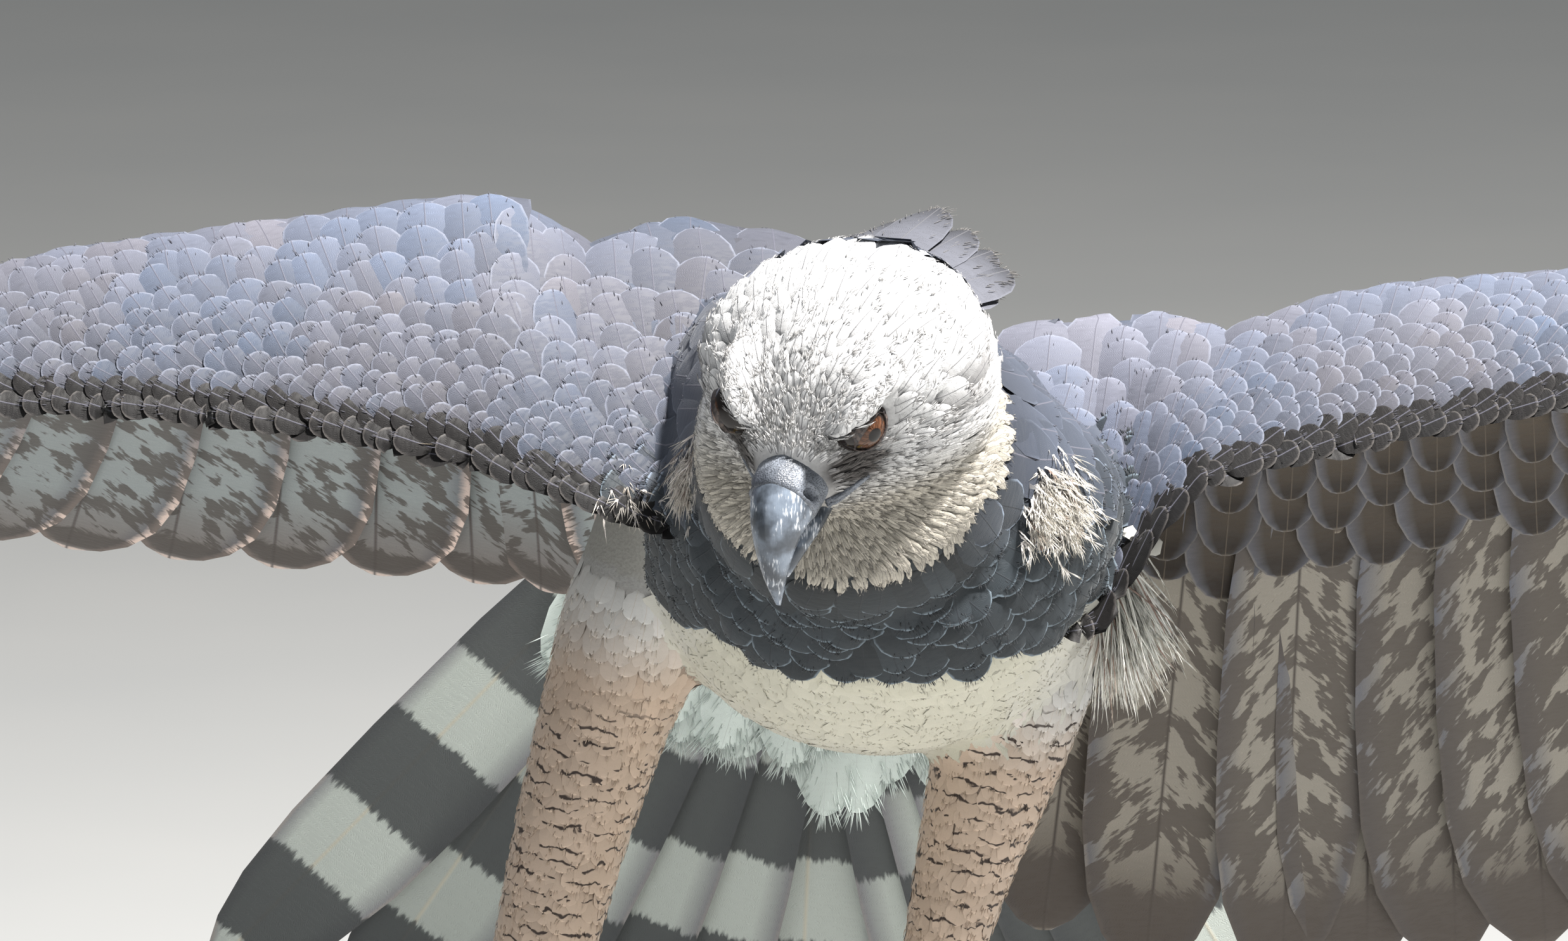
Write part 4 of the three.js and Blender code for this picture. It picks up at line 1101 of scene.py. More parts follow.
    def scatter(self, inside: Callable[[Array], Array], gap: Callable[[Array], Array], tries: int) -> Array:
        """Evenly spread places on the skin.

        Args:
            inside: tells which points belong.
            gap: the distance kept at each point.
            tries: how many random places to draw.

        Returns:
            The places kept.
        """
        corners = self.points[self.faces]
        middle = corners.mean(axis=1)
        faces = self.faces[inside(middle)]
        corners = self.points[faces]
        area = np.linalg.norm(
            np.cross(corners[:, 2] - corners[:, 0], corners[:, 3] - corners[:, 1]), axis=-1
        ) + 1e-9
        pick = CHANCE.choice(len(faces), tries, p=area / area.sum())
        u, v = CHANCE.random((2, tries, 1))
        a, b, c, d = (corners[pick, i] for i in range(4))
        places = (a * (1 - u) + b * u) * (1 - v) + (d * (1 - u) + c * u) * v
        keep_apart = gap(places)
        tree = KDTree(tries)
        for i, p in enumerate(places.tolist()):
            tree.insert(p, i)
        tree.balance()
        alive = np.ones(tries, dtype=bool)
        kept = []
        for i, (p, r) in enumerate(zip(places.tolist(), keep_apart.tolist())):
            if alive[i]:
                kept.append(i)
                for _, j, _ in tree.find_range(p, r):
                    alive[j] = False
        return places[kept][inside(places[kept])]

    def lay(
        self, roots: Array, length: Array, rise: Array, outline: Outline, swing: float
    ) -> tuple[Array, Array]:
        """Centre lines that follow the skin from their roots.

        Args:
            roots: N places on the skin.
            length: of each feather.
            rise: how far each tip stands off the skin.
            outline: whose stations are used.
            swing: spread of the random turn, in degrees.

        Returns:
            The centre lines and the directions out of the skin, each as (N, K, 3).
        """
        near, out = self.snap(roots)
        yaw = np.radians(CHANCE.normal(0, swing, len(roots)))
        centres, outs = [near - out * self.sink], [out]
        for before, now in zip(outline.at[:-1], outline.at[1:]):
            lie = Regions.lie(near)
            lie = unit(lie - out * (lie * out).sum(-1, keepdims=True))
            lie = spin(lie, out, yaw)
            near, out = self.snap(near + lie * (length * (now - before))[:, None])
            centres.append(near + out * (rise * now)[:, None])
            outs.append(out)
        return np.stack(centres, axis=1), np.stack(outs, axis=1)


class Regions:
    """Which coat grows where on the body, in which colour, and how it lies."""

    MANTLE: Colour = (0.072, 0.085, 0.118)
    COLLAR: Colour = (0.035, 0.045, 0.054)
    CREAM: Colour = (0.5, 0.49, 0.405)
    FLANK: Colour = (0.66, 0.66, 0.65)
    THIGH: Colour = (0.56, 0.44, 0.35)
    # VENT: white undertail feathers; their cool green-blue cast is painted shade.
    VENT: Colour = (0.72, 0.86, 0.82)
    CROWN: Colour = (0.88, 0.885, 0.9)
    THROAT: Colour = (0.5, 0.465, 0.4)

    @staticmethod
    def head_share(p: Array) -> Array:
        """1 on the head's own surface, more outside it."""
        a, l, u = np.moveaxis(Pose.to_head(p), -1, 0)
        return np.sqrt((a / 66) ** 2 + ((l - Skin.lean(u)) / 66) ** 2 + (u / np.where(u > 0, 55, 66)) ** 2)

    @classmethod
    def on_head(cls, p: Array) -> Array:
        """Whether points belong to the head."""
        return (cls.head_share(p) < 1.13) & (Pose.to_head(p)[..., 0] > -56)

    @staticmethod
    def trunk_share(p: Array) -> Array:
        """1 on the trunk's own surface, more outside it."""
        q = Pose.to_trunk(p)
        rows = np.array(SKIN.trunk_rows, dtype=float)
        half, centre, rise, drop = (np.interp(q[:, 1], rows[:, 0], rows[:, i]) for i in (1, 2, 3, 4))
        high = q[:, 2] - centre
        return np.sqrt((q[:, 0] / half) ** 2 + (high / np.where(high > 0, rise, drop)) ** 2)

    @classmethod
    def on_thigh(cls, p: Array) -> Array:
        """Whether points belong to a thigh."""
        b = p @ Pose.BANK
        found = np.zeros(len(p), dtype=bool)
        for rows in SKIN.thigh_rows.values():
            table = np.array(rows, dtype=float)[::-1]
            x, y, half, deep = (np.interp(b[:, 2], table[:, 2], table[:, i]) for i in (0, 1, 3, 4))
            near = np.sqrt(((b[:, 0] - x) / half) ** 2 + ((b[:, 1] - y) / deep) ** 2) < 1.2
            found |= near & (b[:, 2] < -118)
        return found & (cls.trunk_share(p) > 1.0)

    @staticmethod
    def on_arm(p: Array) -> Array:
        """Whether points belong to an arm."""
        return (np.abs(p[:, 0] - 2) > 106) & (p[:, 2] > -112)

    @staticmethod
    def front_rise(p: Array) -> Array:
        """How far points lie above the breast band's lower edge, as seen from in front."""
        seen = p[:, 1] * 0.17 + p[:, 2] * 0.985
        edge = np.interp(p[:, 0], [-125, -112, -95, -68, -37, -18, 0, 47, 81, 98, 115],
                         [-48, -76, -93, -103, -110, -105, -111, -103, -87, -67, -38])
        return seen - edge - np.maximum(p[:, 1] + 10, 0) * 1.1

    @classmethod
    def colour(cls, p: Array) -> Array:
        """The coat's colour at points of the skin."""
        q = Pose.to_trunk(p)
        rise = cls.front_rise(p)
        made = np.tile(vec(*cls.CREAM), (len(p), 1))
        back = q[:, 2] > np.interp(q[:, 1], [-100, 60, 200, 330], [-60, -28, -30, -20])
        side = np.clip((np.abs(q[:, 0]) - 62) / 30, 0, 1)[:, None]
        made = made + (vec(*cls.FLANK) - made) * side * 0.6
        vent = np.clip((q[:, 1] - 175) / 40, 0, 1)[:, None]
        made = made + (vec(*cls.VENT) - made) * vent
        deep = np.clip((-8 - p[:, 2]) / 40, 0, 1)[:, None]
        deep = np.where((p[:, 1] > 40)[:, None], 0, deep)
        slate = vec(*cls.MANTLE) + (vec(*cls.COLLAR) - vec(*cls.MANTLE)) * deep
        made = np.where(((rise > 0) | back)[:, None], slate, made)
        made = np.where(cls.on_thigh(p)[:, None], cls.thigh_colour(p), made)
        return np.where(cls.on_head(p)[:, None], cls.head_colour(p), made)

    @classmethod
    def thigh_colour(cls, p: Array) -> Array:
        """Whitish at the hip, then pinkish cream."""
        down = np.clip((-122 - (p @ Pose.BANK)[:, 2]) / 34, 0, 1)[:, None]
        return vec(*cls.FLANK) + (vec(*cls.THIGH) - vec(*cls.FLANK)) * down

    @classmethod
    def head_colour(cls, p: Array) -> Array:
        """White crown, grey behind the eye, warm beige cheeks and throat, dark lores."""
        a, l, u = np.moveaxis(Pose.to_head(p), -1, 0)
        low = np.clip((4 - u - 0.18 * np.abs(l)) / 24, 0, 1)[:, None]
        made = vec(*cls.CROWN) + (vec(*cls.THROAT) - vec(*cls.CROWN)) * low
        nape = np.clip((-14 - a) / 30, 0, 1)[:, None] * np.clip((u - 20) / 20, 0, 1)[:, None]
        made = made + (vec(0.5, 0.52, 0.57) - made) * nape
        streak = np.exp(
            -((u - 2 + 0.35 * (a - 20)) / 10) ** 2
        ) * np.clip((24 - a) / 14, 0, 1) * np.clip((a + 34) / 30, 0, 1)
        streak = streak * (np.abs(l) > 30)
        made = made * (1 - 0.6 * streak[:, None]) + vec(0.12, 0.11, 0.11) * 0.5 * streak[:, None]
        lores = np.exp(-(((a - 38) / 8) ** 2 + ((u - 3) / 7.5) ** 2)) * (np.abs(l) > 9)
        return made + (vec(0.07, 0.062, 0.06) - made) * np.clip(lores * 2, 0, 1)[:, None]

    @classmethod
    def lie(cls, p: Array) -> Array:
        """The lie of the coat at points, before it is laid on the skin."""
        back = Pose.TRUNK @ vec(0, 1, 0)
        away = p - vec(-20, -118, -6)
        far = np.linalg.norm(away, axis=-1, keepdims=True)
        near = np.exp(-np.maximum(far - 70, 0) / 80)
        body = unit(away) * near * 1.5 + back * (1 - near)
        down = Pose.body(vec(0, -0.06, -1))
        body = np.where(cls.on_thigh(p)[:, None], down, body)
        head = p - Pose.head(vec(52, 0, 2))
        return unit(np.where(cls.on_head(p)[:, None], head, body))


@dataclass
class Eyes:
    """The two eyes with their lids; lengths in the head's frame, in millimetres."""

    ahead: float = 27.0
    side: float = 26.0
    up: float = 20.0
    radius: float = 12.5
    iris: float = 7.8
    pupil: float = 3.1
    opening: tuple[float, float, float] = (9.4, 4.8, 6.0)  # half width, above, below

    def centre(self, side: int) -> Array:
        """The middle of one eye."""
        return Pose.head(vec(self.ahead, side * self.side, self.up))

    def axes(self, side: int) -> tuple[Array, Array, Array]:
        """One eye's directions: out of the head, forward along the lids, and up."""
        out = Pose.head_way(0.5, side * 0.86, 0.06)
        level = Pose.head_way(1, 0, -0.42)
        tall = square(out, level) * -side
        tall = tall if tall[2] > 0 else -tall
        return out, unit(level - out * (level @ out)), tall

    def carve(self, points: Array) -> Array:
        """Draws the skin in over the eyes, so that the balls show."""
        points = points.copy()
        for side in (-1, 1):
            centre, out = self.centre(side), self.axes(side)[0]
            rel = points - centre
            rise = rel @ out
            off = np.linalg.norm(rel - rise[:, None] * out, axis=-1)
            limit = np.where(
                off < 10.5, np.sqrt(np.maximum(self.radius**2 - off**2, 0)) - 2.0, 4.2 + (off - 10.5) * 2.2
            )
            cut = (off < 17) & (rise > 0) & (rise > limit) & (rel @ self.axes(side)[2] < 4.5)
            points[cut] += (np.minimum(limit - rise, 0)[:, None] * out)[cut]
        return points

    def make(self) -> None:
        """Builds the balls and the lids."""
        ball_finish, lid_finish = self.ball_material(), self.lid_material()
        for name, side in (("right", -1), ("left", 1)):
            self.ball(name, side, ball_finish)
            self.lids(name, side, lid_finish)

    def ball(self, name: str, side: int, material: Material) -> None:
        """One eyeball with its cornea, its poles on the line of sight.

        Args:
            name: the side's name.
            side: 1 for the bird's left, -1 for its right.
            material: the eye's material.
        """
        out, level, tall = self.axes(side)
        polar = np.concatenate([np.linspace(0, 0.9, 28), np.linspace(1.0, math.pi, 18)])[1:-1]
        around = np.arange(48) / 48 * 2 * math.pi
        off = self.radius * np.sin(polar)
        rise = self.radius * np.cos(polar) + 1.1 * np.exp(-(off / 6.5) ** 4) * (polar < 1.5)
        local = np.stack(
            [np.outer(off, np.cos(around)), np.outer(off, np.sin(around)), np.repeat(rise[:, None], 48, 1)],
            -1
        )
        rings = self.centre(side) + local @ np.stack([level, tall, out])
        top, low = self.centre(side) + out * (self.radius + 1.1), self.centre(side) - out * self.radius
        points, faces = loft(rings, top, low)
        made = list_mesh(f"eyeball_{name}", points, faces, (f"eye_{name}",))
        ends = np.array([[0, 0, self.radius + 1.1], [0, 0, -self.radius]])
        put_attribute(made.data, "sight", np.concatenate([local.reshape(-1, 3), ends]))
        keep(made, material)

    def lids(self, name: str, side: int, material: Material) -> None:
        """The lids of one eye: a ring from the ball's surface out onto the skin.

        Args:
            name: the side's name.
            side: 1 for the bird's left, -1 for its right.
            material: the skin's material.
        """
        out, level, tall = self.axes(side)
        angle = np.arange(56) / 56 * 2 * math.pi
        c, s = np.cos(angle), np.sin(angle)
        wide, above, below = self.opening
        inner = 1 / np.sqrt((c / wide) ** 2 + (s / np.where(s > 0, above, below)) ** 2)
        way = c[:, None] * level + s[:, None] * tall
        rows = []
        for share, lift in (
            (0, -0.6), (0, 0.2), (0.03, 0.9), (0.12, 1.5), (0.3, 1.6), (0.55, 1.0), (0.8, 0.5), (1, -0.8)
        ):
            off = inner + (np.where(s > 0, 10.0, 13.0) - inner) * share
            ball = self.centre(side) + way * off[:, None] + out * (
                np.sqrt(np.maximum(self.radius**2 - off**2, 6)) + lift
            )[:, None]
            near, normal = SKIN.snap(ball)
            blend = min(max((share - 0.12) / 0.5, 0), 1)
            rows.append(ball * (1 - blend) + (near + normal * lift) * blend)
        rings = np.array(rows)
        base = rings.mean(axis=1)
        points, faces = loft(rings, base[0], base[-1])
        faces = [f for f in faces if len(f) == 4]
        closing = [
            tuple((len(rows) - 1) * 56 + j if k < 2 else j for k,
            j in ((0, i), (1, (i + 1) % 56), (2, (i + 1) % 56), (3, i))) for i in range(56)
        ]
        keep(list_mesh(f"lids_{name}", points[:-2], faces + closing), material)

    def ball_material(self) -> Material:
        """Brown iris with radial streaks, a dark pupil and rim, under a wet cornea."""
        material, t, shader = new_material("eye_wet")
        x, y, _ = t.parts(t.attribute("sight"))
        off = t.math("SQRT", t.math("ADD", t.math("MULTIPLY", x, x), t.math("MULTIPLY", y, y)))
        angle = t.math("ARCTAN2", y, x)
        streak = t.noise(
            t.vector(t.math("MULTIPLY", t.math("SINE", angle), 6.0),
            t.math("MULTIPLY", t.math("COSINE", angle), 6.0), t.math("MULTIPLY", off, 0.25)), 1.6, 4.0, 0.6
        )
        brown = t.mix(t.step(streak, 0.35, 0.65), (0.035, 0.017, 0.01), (0.13, 0.058, 0.032))
        inner = t.math("SUBTRACT", 1.0, t.step(off, self.pupil - 0.25, self.pupil + 0.35))
        outer = t.step(off, self.iris - 1.3, self.iris + 0.2)
        colour = t.mix(inner, brown, (0.004, 0.003, 0.003))
        colour = t.mix(outer, colour, (0.012, 0.009, 0.008))
        dress(t, shader, colour, t.math("MULTIPLY_ADD", streak, 0.04, 0.02))
        shader.inputs["Specular IOR Level"].default_value = 0.15
        shader.inputs["Coat Weight"].default_value = 0.3
        shader.inputs["Coat Roughness"].default_value = 0.02
        return material

    def lid_material(self) -> Material:
        """Dark grey wrinkled skin, paler where it is worn."""
        material, t, shader = new_material("lid_skin")
        place = t.place()
        cells = t.add(
            "TexVoronoi", {"feature": "DISTANCE_TO_EDGE"}, Vector=place, Scale=900.0
        ).outputs["Distance"]
        fine = t.noise(place, 500.0, 3.0)
        colour = t.mix(t.step(fine, 0.35, 0.7), (0.022, 0.018, 0.02), (0.11, 0.085, 0.075))
        dress(t, shader, colour, t.math("MULTIPLY_ADD", fine, 0.3, 0.35), cells, strength=0.6)
        return material


def list_mesh(name: str, points: Array, faces: list, nodes: tuple[str, ...] = ()) -> bpy.types.Object:
    """A mesh object from points and a list of faces, turned outwards.

    Args:
        name: of the piece.
        points: places in millimetres from the shoulder centre.
        faces: vertex numbers of each.
        nodes: the CAD nodes that it replaces.

    Returns:
        The object.
    """
    mesh = bpy.data.meshes.new(name)
    mesh.from_pydata(((points + SHOULDERS) / 1000).tolist(), [], faces)
    shaped = bmesh.new()
    shaped.from_mesh(mesh)
    bmesh.ops.recalc_face_normals(shaped, faces=shaped.faces)
    shaped.to_mesh(mesh)
    shaped.free()
    mesh.polygons.foreach_set("use_smooth", np.ones(len(mesh.polygons), dtype=bool))
    return on_body(name, mesh, nodes)


def fringe(
    plumes: Plumes, per: int, long: tuple[float, float], half: float, open_out: float = 0.7,
    start: float = 0.55
) -> Plumes:
    """Single barbs that stand out round the ends of feathers.

    Args:
        plumes: the feathers.
        per: barbs on each.
        long: their least and greatest length.
        half: their half width.
        open_out: how far they turn outwards.
        start: the share of the feather where they begin.

    Returns:
        The barbs.
    """
    n, k = plumes.half.shape
    who = np.repeat(np.arange(n), per)
    share = start + (0.98 - start) * CHANCE.random(n * per) ** 0.6
    side = CHANCE.uniform(-0.96, 0.96, n * per)
    spot = np.clip(share * (k - 1), 0, k - 1.001)
    low = spot.astype(int)
    part = (spot - low)[:, None]
    centre = plumes.centre[who, low] * (1 - part) + plumes.centre[who, low + 1] * part
    along = unit(plumes.centre[who, low + 1] - plumes.centre[who, low])
    out = plumes.out[who, low]
    wide = plumes.half[who, low] * (1 - part[:, 0]) + plumes.half[who, low + 1] * part[:, 0]
    across = square(along, out)
    root = centre + across * (wide * side * 0.85)[:, None] + out * 0.25
    way = unit(along + across * (side * open_out)[:, None] + out * CHANCE.normal(0.02, 0.06, (n * per, 1)))
    length = CHANCE.uniform(*long, n * per)
    t = vec(0, 0.5, 1)
    lines = bowed(root, way, out[:, None], length, t, length * 0.12)
    tint = plumes.tint[who, low][:, None] * np.array([1.0, 1.05, 1.12])[None, :, None]
    return Plumes(
        lines, np.repeat(out[:, None], 3, axis=1), half * np.outer(np.ones(n * per), Outline.HAIR.wide),
        tint, plumes.rim[who], plumes.patch[who]
    )


def tinted(colour: Array, stations: int, root: float = 0.8, tip: float = 1.05, vary: float = 0.06) -> Array:
    """Feather tints along their stations: darker at the root as painted shade where the next feathers
    overlap, varied from one to the next.
    """
    each = 1 + CHANCE.normal(0, vary, (len(colour), 1, 1))
    return colour[:, None] * np.linspace(root, tip, stations)[None, :, None] * each


@dataclass
class HeadCoat:
    """The head's feathers, its crest, and the bristles of the face."""

    crest_rows: tuple = ((7, -26, 40, 92, 0.8), (6, -36, 32, 66, 1.0))
    crest_width: float = 29.0
    reaches: tuple = (0, 20, 50, 80, 120)

    def crown(self) -> Plumes:
        """Rounded feathers over the crown, the nape and the upper cheeks."""
        def inside(p: Array) -> Array:
            """Whether points lie on the head's upper part."""
            a, _, u = np.moveaxis(Pose.to_head(p), -1, 0)
            return Regions.on_head(p) & (u > -2 + 0.25 * (a + 10)) & (a < 48) & self.clear_of_eyes(p, 12)

        roots, far = self.grown(
            inside, vec(50, 0, 4), tries=26000, gaps=(1.6, 2.0, 3.6, 7.0, 9.5), reaches=(0, 25, 50, 80, 120)
        )
        length = np.interp(far, self.reaches, [4, 6, 13, 22, 30]) * CHANCE.uniform(0.8, 1.2, len(roots))
        wide = np.interp(far, self.reaches, [0.8, 1.2, 3.2, 7.5, 10.5])
        wide = wide * np.clip(0.45 + Pose.to_head(roots)[:, 2] / 30, 0.45, 1)
        centre, out = SKIN.lay(roots, length, 1.2 + length * 0.1, Outline.ROUND, swing=11)
        return self.plumes(centre, out, wide, Outline.ROUND, roots, 0.45)

    def cheeks(self) -> Plumes:
        """Hair-like feathers of the lower cheeks, the chin and round the eyes."""
        def inside(p: Array) -> Array:
            """Whether points lie on the head's lower part."""
            a, _, u = np.moveaxis(Pose.to_head(p), -1, 0)
            return Regions.on_head(p) & (u < 6 + 0.25 * (a + 10)) & (a < 46) & self.clear_of_eyes(p, 10.5)

        reaches = (0, 20, 60, 110)
        roots, far = self.grown(
            inside, vec(48, 0, -4), tries=30000, gaps=(1.3, 1.5, 2.3, 3.2), reaches=(0, 25, 60, 110)
        )
        length = np.interp(far, reaches, [3.5, 6, 12, 17]) * CHANCE.uniform(0.8, 1.25, len(roots))
        wide = np.interp(far, reaches, [0.5, 0.7, 1.3, 2.6])
        centre, out = SKIN.lay(roots, length, 0.7 + length * 0.05, Outline.ROUND, swing=10)
        return self.plumes(centre, out, wide, Outline.ROUND, roots, 0.7)

    @staticmethod
    def grown(
        inside: Callable[[Array], Array], face: Array, tries: int, gaps: tuple, reaches: tuple
    ) -> tuple[Array, Array]:
        """Roots that stand closer towards the face.

        Args:
            inside: the region.
            face: the point of the face, in the head's frame.
            tries: random places drawn.
            gaps: between roots, at the reaches.
            reaches: distances from the face.

        Returns:
            The roots, and their distances from the face.
        """
        def away(p: Array) -> Array:
            """Distances of points from the face."""
            return np.linalg.norm(p - Pose.head(face), axis=-1)

        roots = SKIN.scatter(inside, lambda p: np.interp(away(p), reaches, gaps), tries)
        return roots, away(roots)

    @staticmethod
    def clear_of_eyes(p: Array, distance: float) -> Array:
        """Whether points lie clear of both eyes' openings."""
        clear = np.ones(len(p), dtype=bool)
        for side in (-1, 1):
            out, _, tall = EYES.axes(side)
            rel = p - EYES.centre(side)
            off = np.linalg.norm(rel - (rel @ out)[:, None] * out, axis=-1)
            clear &= (off > distance) | (rel @ out < 0) | (rel @ tall > 5.5)
        return clear

    @staticmethod
    def plumes(
        centre: Array, out: Array, wide: Array, outline: Outline, roots: Array, dark: float
    ) -> Plumes:
        """The head's feathers as one set, tinted by where they grow."""
        colour = Regions.head_colour(roots)
        # The roots are darkened by dark: painted shade under the overlapping feathers.
        tint = tinted(colour, len(outline.at), dark, tip=1.12, vary=0.07)
        q = Pose.to_head(roots)
        patch = np.stack([np.arctan2(q[:, 1], q[:, 2]) / 6.5 + 0.5, 0.5 - q[:, 0] / 140], axis=-1)
        return Plumes(
            centre, out, wide[:, None] * outline.wide, tint, np.clip(colour * 1.25, 0, 0.95), patch
        )

    def crest(self) -> Plumes:
        """The raised crest feathers in two tiers: pale grey, darker at the tips."""
        rows = []
        for count, ahead, up, length, wide in self.crest_rows:
            for spread in np.linspace(-1, 1, count):
                root = Pose.head(vec(ahead, spread * 28 * wide + Skin.lean(up), up + 5 - abs(spread) * 7))
                way = Pose.head_way(-0.95, spread * 0.46 * wide, -0.39 - abs(spread) * 0.1)
                normal = Pose.head_way(-0.3, spread * 0.45, 1)
                rows.append((root, way, normal, length - abs(spread) * 26, spread))
        t = Outline.BROAD.at
        root, way, normal = (np.array([row[i] for row in rows]) for i in range(3))
        length, spread = (np.array([row[i] for row in rows]) for i in (3, 4))
        across = square(way, normal)
        up = spin(np.cross(across, way), way, np.radians(-spread * 9))
        centre = bowed(root, way, up[:, None], length, t, np.full(len(root), 4.0))
        tint = np.array([[0.115, 0.12, 0.145]] * len(rows))[:, None] * np.interp(
            t, [0, 0.75, 0.9, 1], [1, 1, 0.5, 0.3]
        )[None, :, None]
        half = np.outer(np.full(len(rows), self.crest_width / 2), Outline.BROAD.wide)
        patch = np.stack([np.linspace(0.1, 0.9, len(rows)), np.full(len(rows), 0.95)], axis=-1)
        return Plumes(centre, np.repeat(up[:, None], len(t), axis=1), half, tint, tint[:, 0] * 1.3, patch)

    def make(self) -> None:
        """Builds the head's coat."""
        finish = PlumeFinish(
            "head_plume", barb_gap=0.9, barb_slant=1.0, barb_depth=0.42, shaft_width=0.35,
            shaft=(0.12, 0.12, 0.13), rim_width=0.7, rim_strength=0.6, mottle=0.3
        ).material()
        hair = PlumeFinish("face_hair", barb_gap=1.4, barb_slant=0.5, barb_depth=0.3, shaft_width=0.15,
                           shaft=(0.2, 0.19, 0.18), rim_width=0.2, rim_strength=0.3, mottle=0.4).material()
        crown, cheeks = self.crown(), self.cheeks()
        crown.build("crown_plumes", finish, columns=3, camber=0.22, thick=0.2, slot="head_feather")
        fringe(
            crown, per=7, long=(1.8, 4.2), half=0.22, open_out=0.8, start=0.45
        ).build("crown_barbs", hair, columns=2, slot="head_feather")
        cheeks.build("cheek_plumes", hair, columns=3, camber=0.25, thick=0.2, slot="head_feather")
        fringe(
            cheeks, per=2, long=(2.0, 4.5), half=0.16, open_out=0.35, start=0.5
        ).build("cheek_barbs", hair, columns=2, slot="head_feather")
        crest = self.crest()
        crest.build("crest_plumes", finish, columns=7, camber=0.12, thick=0.5, slot="head_feather")
        fringe(
            crest, per=60, long=(2.5, 6), half=0.25, open_out=0.5, start=0.3
        ).build("crest_barbs", hair, columns=2, slot="head_feather")


